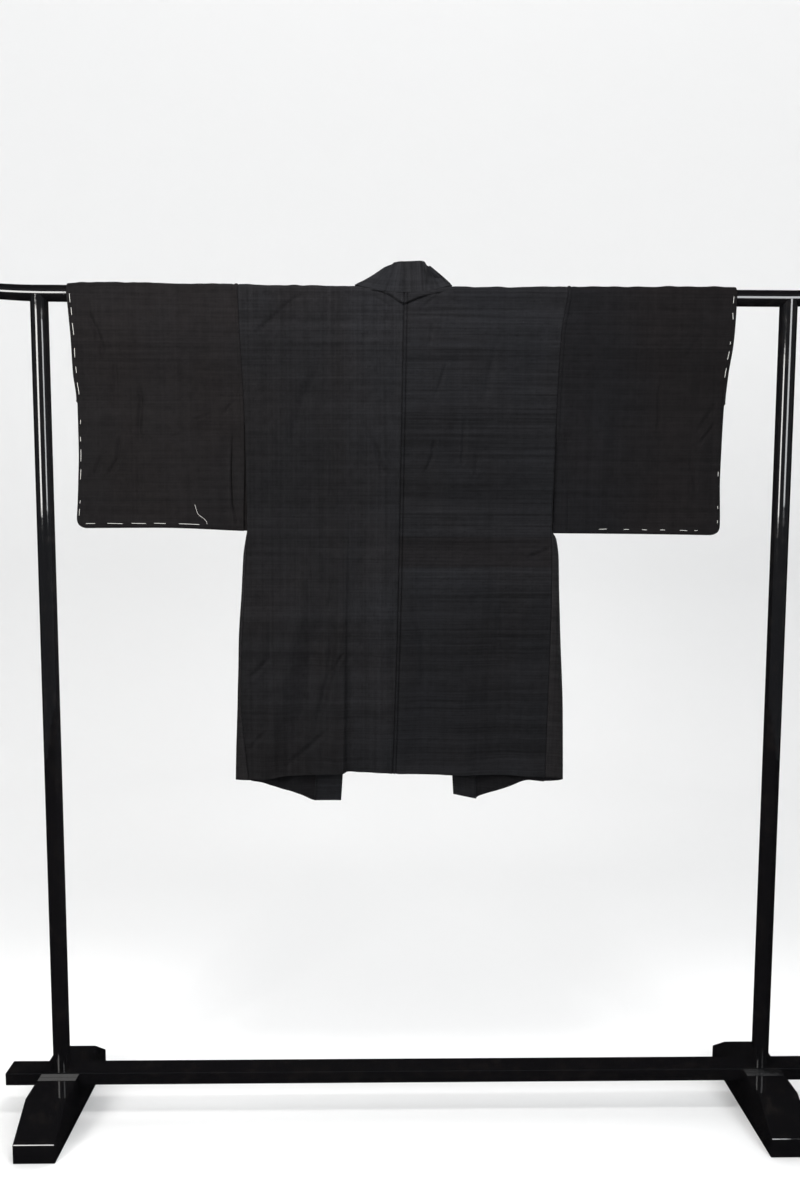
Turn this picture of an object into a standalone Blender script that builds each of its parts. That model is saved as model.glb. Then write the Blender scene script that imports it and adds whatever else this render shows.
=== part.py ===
"""Plain haori jacket hung by its shoulders over the rail of a lacquered kimono stand.

Metres, +Z up. The origin lies on the floor under the middle of the rail. The back of the
haori faces -Y and its two fronts face +Y. A drop is a depth below the rail's axis, and a
span is a distance along X from the haori's own middle, negative on its left as it is seen
from behind.
"""
import math

import bmesh
import bpy
from mathutils import Matrix, Vector

# Stand
RAIL_HEIGHT = 1.650
RAIL_RADIUS = 0.0155
RAIL_LENGTH = 1.710
RAIL_SIDES_RESOLUTION = 10
RAIL_END_RISE = 0.35
RAIL_END_TAPER = 0.09
POST_SPACING = 1.447
POST_RADIUS = 0.0165
POST_HORN_DROP = 0.004
BAR_LENGTH = 1.662
BAR_DEPTH = 0.044
BAR_THICKNESS = 0.026
BAR_TOP = 0.095
FOOT_WIDTH = 0.080
FOOT_LENGTH = 0.313
FOOT_FLAT_LENGTH = 0.180
FOOT_HEIGHT = 0.086
TOE_HEIGHT = 0.037
EDGE_ROUNDING = 0.0018
SEAT_GAP = 0.0003
ROUND_SIDES = 32

# Haori
HAORI_X = -0.025
WALL = 0.0015
COLLAR_WALL = 0.0026
COLLAR_WIDTH = 0.055
RAIL_CLEARANCE = 0.0005
SEAM_GAP = 0.0003
NECK_SEAM_GAP = 0.0010
GUSSET_SEAM_GAP = 0.0006
ARMHOLE_DROP = 0.250
GUSSET_TOP_DROP = 0.268
CUFF_DROP = 0.205
SLEEVE_CORNER = 0.022
SLEEVE_EDGE_ROUNDING = 0.0040
SLEEVE_WIDTH = 0.320
SLEEVE_EDGE_FOLD_ROOM = 0.040
SLEEVE_HEM_FOLD_ROOM = 0.050
PANEL_FOLD_ROOM = 1.0 / 7.0
FOLD_START_ROOM = 0.4
NECK_DEPTH = 0.080
BACK_SIDE_HEM = 0.945
FRONT_SIDE_HEM = 0.958
CLOTH_RADIUS = RAIL_RADIUS + RAIL_CLEARANCE + WALL / 2
COLLAR_RADIUS = RAIL_RADIUS + RAIL_CLEARANCE + COLLAR_WALL / 2

# Grids
ARC_STEPS = 8
BODY_COLUMNS = 13
SLEEVE_COLUMN_STEPS = 9
COLLAR_COLUMNS = 3

# Edges of the body and the sleeves: drop, then spans.
ARMHOLE = {
    "drop": (0.000, 0.070, 0.200, 0.250, 0.450, 0.470),
    "left": (-0.3171, -0.3143, -0.3087, -0.3075, -0.3052, -0.3050),
    "right": (0.3158, 0.3050, 0.2994, 0.2985, 0.2950, 0.2948),
}
CENTRE_SEAM = {
    "drop": (0.000, 0.200, 0.390, 0.590, 0.790, 0.945),
    "span": (0.0010, -0.0020, -0.0050, -0.0085, -0.0140, -0.0185),
}
GUSSET_SEAM = {
    "drop": (0.268, 0.350, 0.450, 0.500, 0.590, 0.700, 0.786, 0.860, 0.945),
    "left": (-0.3063, -0.3048, -0.3022, -0.3058, -0.3105, -0.3165, -0.3185, -0.3140, -0.3055),
    "right": (0.2972, 0.2950, 0.2918, 0.2942, 0.2945, 0.2930, 0.2910, 0.2895, 0.2880),
}
GUSSET_BULGE = {
    "drop": (0.268, 0.350, 0.450, 0.500, 0.590, 0.700, 0.786, 0.860, 0.945),
    "left": (0.0, 0.0005, 0.0020, 0.0042, 0.0052, 0.0055, 0.0070, 0.0140, 0.0260),
    "right": (0.0, 0.0005, 0.0020, 0.0110, 0.0175, 0.0225, 0.0285, 0.0325, 0.0360),
}
FRONT_EDGE = {
    "drop": (0.000, 0.100, 0.400, 0.700, 1.000),
    "left": (-0.0935, -0.1040, -0.1310, -0.1550, -0.1751),
    "right": (0.0935, 0.1010, 0.1190, 0.1350, 0.1499),
}
# How far the back and the fronts stand from the rail's plane, by drop.
HALF_DEPTH = {
    "drop": (0.000, 0.070, 0.250, 0.268, 0.450, 0.590, 0.790, 0.945, 1.000),
    "middle": (CLOTH_RADIUS, 0.0168, 0.0172, 0.0173, 0.0185, 0.0195, 0.0205, 0.0220, 0.0225),
    "left": (CLOTH_RADIUS, 0.0155, 0.0105, 0.0104, 0.0145, 0.0190, 0.0225, 0.0180, 0.0180),
    "right": (CLOTH_RADIUS, 0.0155, 0.0105, 0.0104, 0.0115, 0.0115, 0.0105, 0.0095, 0.0095),
}
# How far the cloth puffs up off the top of the rail, by span.
TOP_PUFF = {
    "span": (-0.640, -0.600, -0.480, -0.330, -0.150, 0.000, 0.150, 0.300, 0.450, 0.600, 0.640),
    "rise": (0.0015, 0.0045, 0.0050, 0.0035, 0.0010, 0.0, 0.0008, 0.0020, 0.0035, 0.0020, 0.0),
}
# Hems: the drop of the cloth's lower edge, by span.
BACK_HEM = {
    "span": (-0.3055, -0.2830, -0.2000, -0.1200, -0.0185, 0.1010, 0.2000, 0.2876),
    "drop": (0.9450, 0.9455, 0.9370, 0.9300, 0.9320, 0.9345, 0.9390, 0.9450),
}
FRONT_HEM_LEFT = {
    "span": (-0.3055, -0.2850, -0.2480, -0.2077, -0.1751, -0.1200),
    "drop": (0.9580, 0.9620, 0.9740, 0.9880, 0.9990, 0.9970),
}
FRONT_HEM_RIGHT = {
    "span": (0.1058, 0.1499, 0.1805, 0.2210, 0.2620, 0.2876),
    "drop": (0.9910, 0.9960, 0.9840, 0.9680, 0.9590, 0.9580),
}
# Sleeves: outer edge and lower edge.
SLEEVE_EDGE = {
    "drop": (0.000, 0.070, 0.200, 0.300, 0.400, 0.470),
    "left": (-0.6400, -0.6345, -0.6285, -0.6305, -0.6335, -0.6350),
    "right": (0.6395, 0.6370, 0.6300, 0.6265, 0.6255, 0.6250),
}
SLEEVE_HEM = {
    "part": (0.0, 0.5, 1.0),
    "left": (0.4487, 0.4443, 0.4457),
    "right": (0.4517, 0.4513, 0.4509),
}
SLEEVE_HALF_DEPTH = {
    "drop": (0.000, 0.070, 0.150, 0.250, 0.350, 0.470),
    "depth": (CLOTH_RADIUS, 0.0155, 0.0130, 0.0105, 0.0092, 0.0085),
}
# The back neckline, from the centre seam to the shoulder: span, turn round the rail back
# from its top, and how steeply the collar stands there.
NECKLINE = {
    "part": (0.00, 0.25, 0.50, 0.70, 0.86, 1.00),
    "span": (0.0000, 0.0300, 0.0550, 0.0740, 0.0870, 0.0925),
    "turn": (82.0, 77.0, 64.0, 45.0, 21.0, 0.0),
    "left_lift": (90.0, 74.0, 54.0, 41.0, 30.0, 22.0),
    "right_lift": (90.0, 86.0, 74.0, 62.0, 50.0, 40.0),
}
# The collar down the fronts: how steeply it lies, and how far its free edge turns forward.
COLLAR_LAY = {
    "drop": (0.000, 0.060, 0.300, 0.650, 1.000),
    "lift": (2.0, -6.0, -5.0, -4.0, -2.0),
    "left_turn": (0.0, 4.0, 8.0, 6.0, 0.0),
    "right_turn": (0.0, 5.0, 14.0, 26.0, 36.0),
}

# Largest folds. A fold runs from one span and drop to another; its swell is outward from
# the garment, negative for a trough, and its reach is the half width across it.
FOLD_COLUMNS = ("start_span", "start_drop", "end_span", "end_drop", "swell", "reach")
BACK_FOLDS = (
    (-0.118, 0.220, -0.115, 0.980, 0.0065, 0.020),
    (-0.090, 0.300, -0.088, 0.980, -0.0060, 0.024),
    (-0.140, 0.500, -0.235, 0.960, -0.0075, 0.026),
    (-0.170, 0.480, -0.275, 0.930, 0.0060, 0.024),
    (-0.040, 0.200, -0.030, 0.900, 0.0040, 0.030),
    (0.060, 0.180, 0.045, 0.980, -0.0050, 0.030),
    (0.110, 0.400, 0.120, 0.980, 0.0055, 0.030),
    (0.190, 0.480, 0.205, 0.980, -0.0060, 0.032),
    (0.245, 0.420, 0.262, 0.960, 0.0040, 0.022),
)
LEFT_FRONT_FOLDS = (
    (-0.255, 0.300, -0.262, 1.020, 0.0060, 0.026),
    (-0.205, 0.400, -0.222, 1.020, -0.0060, 0.026),
)
RIGHT_FRONT_FOLDS = (
    (0.240, 0.280, 0.252, 1.020, 0.0055, 0.024),
    (0.185, 0.420, 0.205, 1.020, -0.0060, 0.026),
)
LEFT_SLEEVE_FOLDS = (
    (-0.515, 0.120, -0.512, 0.430, -0.0030, 0.022),
    (-0.570, 0.060, -0.592, 0.300, 0.0028, 0.024),
    (-0.400, 0.080, -0.420, 0.420, 0.0025, 0.032),
)
RIGHT_SLEEVE_FOLDS = (
    (0.500, 0.140, 0.503, 0.420, -0.0030, 0.022),
    (0.575, 0.200, 0.592, 0.420, 0.0026, 0.022),
    (0.400, 0.080, 0.385, 0.400, 0.0025, 0.032),
)

LACQUER = ("black_lacquer", (0.010, 0.010, 0.012, 1.0), 0.12)
CLOTH = ("charcoal_silk", (0.020, 0.020, 0.022, 1.0), 0.85)
COLLAR_CLOTH = ("charcoal_silk_collar", (0.024, 0.024, 0.027, 1.0), 0.82)


def clear_scene():
    for item in list(bpy.data.objects):
        bpy.data.objects.remove(item, do_unlink=True)


def new_collection(name):
    collection = bpy.data.collections.new(name)
    bpy.context.scene.collection.children.link(collection)
    return collection


def make_material(name, colour, roughness):
    material = bpy.data.materials.new(name)
    material.use_nodes = True
    shader = material.node_tree.nodes["Principled BSDF"]
    shader.inputs["Base Color"].default_value = colour
    shader.inputs["Roughness"].default_value = roughness
    shader.inputs["Metallic"].default_value = 0.0
    material.diffuse_color = colour
    return material


def place(item, collection, material=None):
    """Keeps an object in one collection only and gives it its material."""
    for owner in list(item.users_collection):
        owner.objects.unlink(item)
    collection.objects.link(item)
    if material:
        item.data.materials.clear()
        item.data.materials.append(material)
    return item


def hide_cutter(item):
    item.hide_render = True
    item.display_type = "WIRE"


def shade(mesh, sharp_angle=35.0):
    mesh.shade_smooth()
    mesh.set_sharp_from_angle(angle=math.radians(sharp_angle))


def along(table, key, column, at):
    """Reads a column of a table at a key, on a smooth curve through its rows."""
    keys = table[key]
    values = table[column]
    last = len(keys) - 1
    at = min(max(at, keys[0]), keys[last])
    row = 0
    while row < last - 1 and at > keys[row + 1]:
        row += 1
    width = keys[row + 1] - keys[row]
    rise = (values[row + 1] - values[row]) / width

    def slope(index):
        if index in (0, last):
            return rise
        before = (values[index] - values[index - 1]) / (keys[index] - keys[index - 1])
        after = (values[index + 1] - values[index]) / (keys[index + 1] - keys[index])
        if before * after <= 0.0:
            return 0.0
        return 2.0 * before * after / (before + after)

    t = (at - keys[row]) / width
    start_weight = (1.0 + 2.0 * t) * (1.0 - t) ** 2
    end_weight = t * t * (3.0 - 2.0 * t)
    start_pull = t * (1.0 - t) ** 2 * width * slope(row)
    end_pull = t * t * (t - 1.0) * width * slope(row + 1)
    return start_weight * values[row] + end_weight * values[row + 1] + start_pull + end_pull


def ease(value):
    value = min(max(value, 0.0), 1.0)
    return value * value * (3.0 - 2.0 * value)


def mix(low, high, part):
    return low + (high - low) * part


def fold_swell(folds, span, drop):
    """Outward move of the cloth at a point, from every fold that passes near it."""
    total = 0.0
    for row in folds:
        fold = dict(zip(FOLD_COLUMNS, row))
        length = fold["end_drop"] - fold["start_drop"]
        part = (drop - fold["start_drop"]) / length
        if part <= 0.0:
            continue
        line = mix(fold["start_span"], fold["end_span"], min(part, 1.0))
        fade = ease(part / FOLD_START_ROOM)
        total += fold["swell"] * fade * math.exp(-(((span - line) / fold["reach"]) ** 2))
    return total


def over_rail(span, radius, turn):
    """A point on the cloth that lies round the rail; turn is 0 on top, 90 at the front."""
    angle = math.radians(turn)
    height = (radius + along(TOP_PUFF, "span", "rise", span)) * math.cos(angle)
    return Vector((HAORI_X + span, radius * math.sin(angle), RAIL_HEIGHT + height))


def hanging(span, depth, drop):
    return Vector((HAORI_X + span, depth, RAIL_HEIGHT - drop))


def grid_object(name, columns, rows, point, wall, collection, material):
    """A cloth piece: a grid bent to its form by point(column, row), then given its wall."""
    mesh = bpy.data.meshes.new(name)
    form = bmesh.new()
    bmesh.ops.create_grid(form, x_segments=columns, y_segments=rows, size=1.0)
    form.verts.ensure_lookup_table()
    for vertex in form.verts:
        column = vertex.index % (columns + 1)
        row = vertex.index // (columns + 1)
        vertex.co = point(column, row)
    bmesh.ops.remove_doubles(form, verts=form.verts, dist=1e-6)
    form.to_mesh(mesh)
    form.free()
    shade(mesh, 60.0)
    item = bpy.data.objects.new(name, mesh)
    place(item, collection, material)
    thicken = item.modifiers.new("wall", "SOLIDIFY")
    thicken.thickness = wall
    thicken.offset = 0.0
    thicken.use_even_offset = True
    thicken.use_quality_normals = True
    return item


# Body

HANGING_STEPS = (
    0.0, 0.035, 0.080, 0.130, 0.190, ARMHOLE_DROP, GUSSET_TOP_DROP, 0.320, 0.385, 0.450, 0.490,
    0.545, 0.600, 0.655, 0.710, 0.765, 0.820, 0.880, BACK_SIDE_HEM,
)
GUSSET_FIRST_STEP = HANGING_STEPS.index(GUSSET_TOP_DROP)


def body_side_span(side, drop):
    """The outer edge of a back or front panel: the armhole, then the gusset's seam."""
    sign = -1.0 if side == "left" else 1.0
    if drop <= ARMHOLE_DROP:
        return along(ARMHOLE, "drop", side, drop) - sign * SEAM_GAP / 2
    return along(GUSSET_SEAM, "drop", side, drop)


def body_half_depth(side, part, drop):
    """Distance of a panel from the rail's plane; part is 0 at its inner edge."""
    middle = along(HALF_DEPTH, "drop", "middle", drop)
    edge = along(HALF_DEPTH, "drop", side, drop)
    return mix(middle, edge, ease(part))


def fold_room(part):
    """Folds die out at a panel's two edges, where it is sewn to its neighbours."""
    return ease(part / PANEL_FOLD_ROOM) * ease((1.0 - part) / PANEL_FOLD_ROOM)


def back_point(side, part, step):
    sign = -1.0 if side == "left" else 1.0
    hem_span = mix(CENTRE_SEAM["span"][-1], body_side_span(side, BACK_SIDE_HEM), part)
    drop = step / BACK_SIDE_HEM * along(BACK_HEM, "span", "drop", hem_span)
    inner = along(CENTRE_SEAM, "drop", "span", drop) + sign * SEAM_GAP / 2
    span = mix(inner, body_side_span(side, step), part)
    depth = body_half_depth(side, part, step)
    depth += fold_swell(BACK_FOLDS, span, drop) * fold_room(part)
    return hanging(span, -depth, drop)


def front_inner_span(side, drop):
    return along(FRONT_EDGE, "drop", side, drop)


def front_point(side, part, step):
    hems = FRONT_HEM_LEFT if side == "left" else FRONT_HEM_RIGHT
    folds = LEFT_FRONT_FOLDS if side == "left" else RIGHT_FRONT_FOLDS
    hem_span = mix(front_inner_span(side, 1.0), body_side_span(side, BACK_SIDE_HEM), part)
    drop = step / BACK_SIDE_HEM * along(hems, "span", "drop", hem_span)
    span = mix(front_inner_span(side, drop), body_side_span(side, step), part)
    depth = body_half_depth(side, part, step) + fold_swell(folds, span, drop) * fold_room(part)
    return hanging(span, depth, drop)


def neck_turns():
    """Rows round the rail: the neckline's own turns at the back, even steps at the front."""
    back = [-turn for turn in NECKLINE["turn"]]
    front_rows = ARC_STEPS // 2
    front = [90.0 * index / front_rows for index in range(1, front_rows)]
    return back + front


def neck_span(turn):
    """Half width of the neck opening where the body lies round the rail."""
    if turn >= 0.0:
        return mix(NECKLINE["span"][-1], FRONT_EDGE["right"][0], turn / 90.0)
    turns = NECKLINE["turn"]
    return NECKLINE["span"][turns.index(-turn)]


def body_half(side, collection, material):
    sign = -1.0 if side == "left" else 1.0
    turns = neck_turns()
    back_rows = list(reversed(HANGING_STEPS))
    front_rows = list(HANGING_STEPS)
    total_rows = len(back_rows) + len(turns) + len(front_rows)

    def point(column, row):
        part = column / BODY_COLUMNS
        if row < len(back_rows):
            return back_point(side, part, back_rows[row])
        row -= len(back_rows)
        if row < len(turns):
            inner = sign * neck_span(turns[row])
            if row == 0:
                inner = CENTRE_SEAM["span"][0] + sign * SEAM_GAP / 2
            span = mix(inner, body_side_span(side, 0.0), part)
            return over_rail(span, CLOTH_RADIUS, turns[row])
        return front_point(side, part, front_rows[row - len(turns)])

    name = "body_" + side
    return grid_object(name, BODY_COLUMNS, total_rows - 1, point, WALL, collection, material)


# Gussets, the tapering strips under the arms that join the back to each front

GUSSET_PARTS = (0.0, 0.06, 0.18, 0.34, 0.50, 0.66, 0.82, 0.94, 1.0)
GUSSET_PATH_STEPS = 48


def path_point(path, lengths, at):
    """A point at a distance along a path whose running lengths are known."""
    index = 1
    while index < len(path) - 1 and lengths[index] < at:
        index += 1
    part = (at - lengths[index - 1]) / (lengths[index] - lengths[index - 1])
    return path[index - 1].lerp(path[index], part)


def gusset_path(side, step):
    """The strip's section at a step: half an ellipse from the back's seam to the front's."""
    sign = -1.0 if side == "left" else 1.0
    depth = along(HALF_DEPTH, "drop", side, step)
    bulge = along(GUSSET_BULGE, "drop", side, step)
    seam = along(GUSSET_SEAM, "drop", side, step)
    path = []
    for index in range(GUSSET_PATH_STEPS + 1):
        turn = math.radians(mix(-90.0, 90.0, index / GUSSET_PATH_STEPS))
        hem = mix(BACK_SIDE_HEM, FRONT_SIDE_HEM, (math.sin(turn) + 1.0) / 2.0)
        span = seam + sign * bulge * math.cos(turn)
        path.append(hanging(span, depth * math.sin(turn), step / BACK_SIDE_HEM * hem))
    return path


def seam_inset(panel_point, side, step, leaving):
    """How far a strip starts from a panel's edge so that the two walls clear each other."""
    edge = panel_point(side, 1.0, step)
    inner = panel_point(side, 1.0 - 1.0 / BODY_COLUMNS, step)
    panel = (edge - inner).normalized()
    turn = panel.angle(leaving)
    if turn <= math.pi / 2:
        return GUSSET_SEAM_GAP + WALL / 2 * math.sin(turn)
    return (GUSSET_SEAM_GAP + WALL / 2 * (1.0 - math.cos(turn))) / math.sin(turn)


def gusset(side, collection, material):
    steps = HANGING_STEPS[GUSSET_FIRST_STEP:]

    def point(column, row):
        step = steps[row]
        path = gusset_path(side, step)
        lengths = [0.0]
        for start, end in zip(path, path[1:]):
            lengths.append(lengths[-1] + (end - start).length)
        near = SEAM_GAP + WALL / 2
        leaving_back = path_point(path, lengths, near) - path[0]
        leaving_front = path_point(path, lengths, lengths[-1] - near) - path[-1]
        start = seam_inset(back_point, side, step, leaving_back)
        end = lengths[-1] - seam_inset(front_point, side, step, leaving_front)
        return path_point(path, lengths, mix(start, end, GUSSET_PARTS[column]))

    name = "gusset_" + side
    columns = len(GUSSET_PARTS) - 1
    return grid_object(name, columns, len(steps) - 1, point, WALL, collection, material)


# Sleeves: one cloth folded over the rail, sewn shut below and up to the cuff

SLEEVE_STEPS = (0.0, 0.035, 0.080, 0.130, 0.170, CUFF_DROP, ARMHOLE_DROP, 0.300, 0.350, 0.395)
CORNER_STEPS = (0.0, 0.0012, 0.0040, 0.0100, SLEEVE_CORNER)


def sleeve_columns():
    """Parts across the sleeve from armhole to cuff, close together at the outer edge."""
    corner = [1.0 - inset / SLEEVE_WIDTH for inset in reversed(CORNER_STEPS)]
    even = [corner[0] * index / SLEEVE_COLUMN_STEPS for index in range(SLEEVE_COLUMN_STEPS)]
    return even + corner


def sleeve_rows(side, part):
    """Drops down one face of the sleeve, close together at its lower edge."""
    hem = along(SLEEVE_HEM, "part", side, part)
    return list(SLEEVE_STEPS) + [hem - inset for inset in reversed(CORNER_STEPS)]


def edge_round(inset):
    """Share of the sleeve's depth left at a distance from a closed edge."""
    near = 1.0 - min(inset / SLEEVE_EDGE_ROUNDING, 1.0)
    return math.sqrt(1.0 - near * near)


def sleeve_point(side, part, row, face):
    """A point of the sleeve's back (face -1) or front (face 1)."""
    sign = -1.0 if side == "left" else 1.0
    drops = sleeve_rows(side, part)
    drop = drops[row]
    hem = drops[-1]
    inner = along(ARMHOLE, "drop", side, drop) + sign * SEAM_GAP / 2
    outer = along(SLEEVE_EDGE, "drop", side, drop)
    inset = (1.0 - part) * abs(outer - inner)
    rise = hem - drop
    if inset < SLEEVE_CORNER and rise < SLEEVE_CORNER:
        across = 1.0 - inset / SLEEVE_CORNER
        down = 1.0 - rise / SLEEVE_CORNER
        round_across = across * math.sqrt(1.0 - down * down / 2.0)
        round_down = down * math.sqrt(1.0 - across * across / 2.0)
        span = outer - sign * SLEEVE_CORNER * (1.0 - round_across)
        height = hem - SLEEVE_CORNER * (1.0 - round_down)
    else:
        span = outer - sign * inset
        height = drop
    folds = LEFT_SLEEVE_FOLDS if side == "left" else RIGHT_SLEEVE_FOLDS
    room = ease(part / PANEL_FOLD_ROOM) * ease(inset / SLEEVE_EDGE_FOLD_ROOM)
    room *= ease(rise / SLEEVE_HEM_FOLD_ROOM)
    depth = along(SLEEVE_HALF_DEPTH, "drop", "depth", drop)
    depth += fold_swell(folds, span, drop) * room
    depth *= edge_round(rise)
    if drop >= CUFF_DROP:
        depth *= edge_round(inset)
    return hanging(span, face * depth, height)


def sleeve(side, collection, material):
    sign = -1.0 if side == "left" else 1.0
    parts = sleeve_columns()
    face_rows = len(SLEEVE_STEPS) + len(CORNER_STEPS)
    turns = [-90.0 + 180.0 * index / ARC_STEPS for index in range(1, ARC_STEPS)]
    total_rows = 2 * face_rows + len(turns)

    def point(column, row):
        part = parts[column]
        if row < face_rows:
            return sleeve_point(side, part, face_rows - 1 - row, -1.0)
        row -= face_rows
        if row < len(turns):
            inner = ARMHOLE[side][0] + sign * SEAM_GAP / 2
            span = mix(inner, SLEEVE_EDGE[side][0], part)
            return over_rail(span, CLOTH_RADIUS, turns[row])
        return sleeve_point(side, part, row - len(turns), 1.0)

    name = "sleeve_" + side
    return grid_object(name, len(parts) - 1, total_rows - 1, point, WALL, collection, material)


# Collar: one folded band up the left front, round the back neck and down the right front


def collar_front(side, step):
    """Sewn edge, direction across the band and seam gap at a place down a front."""
    sign = -1.0 if side == "left" else 1.0
    sewn = front_point(side, 0.0, step)
    drop = RAIL_HEIGHT - sewn.z
    lift = math.radians(along(COLLAR_LAY, "drop", "lift", drop))
    turn = math.radians(along(COLLAR_LAY, "drop", side + "_turn", drop))
    flat = math.cos(lift)
    across = Vector((-sign * flat * math.cos(turn), flat * math.sin(turn), math.sin(lift)))
    past_neck = ease(drop / NECK_DEPTH)
    sewn.y += (COLLAR_RADIUS - CLOTH_RADIUS) * (1.0 - past_neck)
    gap = SEAM_GAP + COLLAR_WALL / 2 * math.sin(turn)
    return sewn, across, mix(NECK_SEAM_GAP, gap, past_neck)


def collar_round_rail(side, turn):
    """Sewn edge, direction across and seam gap where the neckline lies round the rail."""
    sign = -1.0 if side == "left" else 1.0
    if turn > 0.0:
        lift = mix(NECKLINE[side + "_lift"][-1], COLLAR_LAY["lift"][0], turn / 90.0)
    else:
        lift = NECKLINE[side + "_lift"][NECKLINE["turn"].index(-turn)]
    lift = math.radians(lift)
    sewn = over_rail(sign * neck_span(turn), COLLAR_RADIUS, turn)
    return sewn, Vector((-sign * math.cos(lift), 0.0, math.sin(lift))), NECK_SEAM_GAP


def collar(collection, material):
    turns = neck_turns()
    rows = [collar_front("left", step) for step in reversed(HANGING_STEPS)]
    rows += [collar_round_rail("left", turn) for turn in reversed(turns)]
    rows += [collar_round_rail("right", turn) for turn in turns[1:]]
    rows += [collar_front("right", step) for step in HANGING_STEPS]

    def point(column, row):
        sewn, across, gap = rows[row]
        reach = mix(gap, COLLAR_WIDTH, column / COLLAR_COLUMNS)
        return sewn + across * reach

    return grid_object("collar", COLLAR_COLUMNS, len(rows) - 1, point, COLLAR_WALL,
                       collection, material)


# Stand


def rail(collection, material):
    """The round rail, whose ends sweep up a little past the posts and grow thinner."""
    curve = bpy.data.curves.new("rail", "CURVE")
    curve.dimensions = "3D"
    curve.bevel_depth = RAIL_RADIUS
    curve.bevel_resolution = RAIL_SIDES_RESOLUTION
    curve.use_fill_caps = True
    half = RAIL_LENGTH / 2
    start = POST_SPACING / 2 - POST_RADIUS
    end_steps = 6
    arm = [start + (half - start) * index / end_steps for index in range(end_steps + 1)]
    stations = [-x for x in reversed(arm)] + arm
    spline = curve.splines.new("POLY")
    spline.points.add(len(stations) - 1)
    for point, x in zip(spline.points, stations):
        past = abs(x) - start
        point.co = (x, 0.0, RAIL_HEIGHT + RAIL_END_RISE * past * past, 1.0)
        point.radius = 1.0 - RAIL_END_TAPER * past / (half - start)
    item = bpy.data.objects.new("rail", curve)
    curve.materials.append(material)
    collection.objects.link(item)
    return item


def cylinder(name, radius, length, centre, rotation, sides):
    bpy.ops.mesh.primitive_cylinder_add(vertices=sides, radius=radius, depth=length)
    item = bpy.context.object
    item.name = name
    item.data.name = name
    item.data.transform(rotation)
    item.location = centre
    return item


def post(name, x, rail_cutter, collection, material):
    """A round post that stands on the bar and is coped to the underside of the rail."""
    bottom = BAR_TOP + SEAT_GAP
    top = RAIL_HEIGHT - POST_HORN_DROP
    centre = (x, 0.0, (bottom + top) / 2)
    item = cylinder(name, POST_RADIUS, top - bottom, centre, Matrix(), ROUND_SIDES)
    place(item, collection, material)
    cope = item.modifiers.new("cope", "BOOLEAN")
    cope.operation = "DIFFERENCE"
    cope.object = rail_cutter
    shade(item.data)
    return item


def box(name, size, centre):
    bpy.ops.mesh.primitive_cube_add(size=1.0)
    item = bpy.context.object
    item.name = name
    item.data.name = name
    item.data.transform(Matrix.Diagonal((*size, 1.0)))
    item.location = centre
    return item


def round_edges(item):
    bevel = item.modifiers.new("edges", "BEVEL")
    bevel.width = EDGE_ROUNDING
    bevel.segments = 2
    bevel.limit_method = "ANGLE"
    shade(item.data)


def base_bar(collection, material):
    centre = (0.0, 0.0, BAR_TOP - BAR_THICKNESS / 2)
    item = box("base_bar", (BAR_LENGTH, BAR_DEPTH, BAR_THICKNESS), centre)
    place(item, collection, material)
    round_edges(item)
    return item


def foot_blank(name):
    """The foot's side profile, long slopes down to square toes, extruded to its width."""
    half = FOOT_LENGTH / 2
    flat = FOOT_FLAT_LENGTH / 2
    profile = (
        (-half, 0.0), (half, 0.0), (half, TOE_HEIGHT), (flat, FOOT_HEIGHT),
        (-flat, FOOT_HEIGHT), (-half, TOE_HEIGHT),
    )
    curve = bpy.data.curves.new(name, "CURVE")
    curve.dimensions = "2D"
    curve.fill_mode = "BOTH"
    curve.extrude = FOOT_WIDTH / 2
    spline = curve.splines.new("POLY")
    spline.points.add(len(profile) - 1)
    spline.use_cyclic_u = True
    for point, corner in zip(spline.points, profile):
        point.co = (*corner, 0.0, 1.0)
    blank = bpy.data.objects.new(name + "_outline", curve)
    bpy.context.scene.collection.objects.link(blank)
    bpy.context.view_layer.update()
    solid = blank.evaluated_get(bpy.context.evaluated_depsgraph_get())
    mesh = bpy.data.meshes.new_from_object(solid)
    bpy.data.objects.remove(blank, do_unlink=True)
    mesh.name = name
    form = bmesh.new()
    form.from_mesh(mesh)
    bmesh.ops.remove_doubles(form, verts=form.verts, dist=1e-5)
    bmesh.ops.dissolve_limit(form, angle_limit=math.radians(1.0), verts=form.verts,
                             edges=form.edges)
    form.to_mesh(mesh)
    form.free()
    upright = Matrix.Rotation(math.radians(90.0), 4, "X")
    mesh.transform(Matrix.Rotation(math.radians(90.0), 4, "Z") @ upright)
    return bpy.data.objects.new(name, mesh)


def foot(name, x, notch_cutter, collection, material):
    item = foot_blank(name)
    item.location = (x, 0.0, 0.0)
    place(item, collection, material)
    round_edges(item)
    notch = item.modifiers.new("notch", "BOOLEAN")
    notch.operation = "DIFFERENCE"
    notch.object = notch_cutter
    return item


def build_stand(collection, cutters):
    lacquer = make_material(*LACQUER)
    turned = Matrix.Rotation(math.radians(90.0), 4, "Y")
    rail_cutter = cylinder("rail_cutter", RAIL_RADIUS + SEAT_GAP, RAIL_LENGTH,
                           (0.0, 0.0, RAIL_HEIGHT), turned, 2 * ROUND_SIDES)
    notch_bottom = BAR_TOP - BAR_THICKNESS - SEAT_GAP
    notch_size = (BAR_LENGTH, BAR_DEPTH + 2 * SEAT_GAP, FOOT_HEIGHT)
    notch_cutter = box("notch_cutter", notch_size, (0.0, 0.0, notch_bottom + FOOT_HEIGHT / 2))
    for cutter in (rail_cutter, notch_cutter):
        place(cutter, cutters)
        hide_cutter(cutter)
    rail(collection, lacquer)
    base_bar(collection, lacquer)
    for side, x in (("left", -POST_SPACING / 2), ("right", POST_SPACING / 2)):
        post("post_" + side, x, rail_cutter, collection, lacquer)
        foot("foot_" + side, x, notch_cutter, collection, lacquer)


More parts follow.
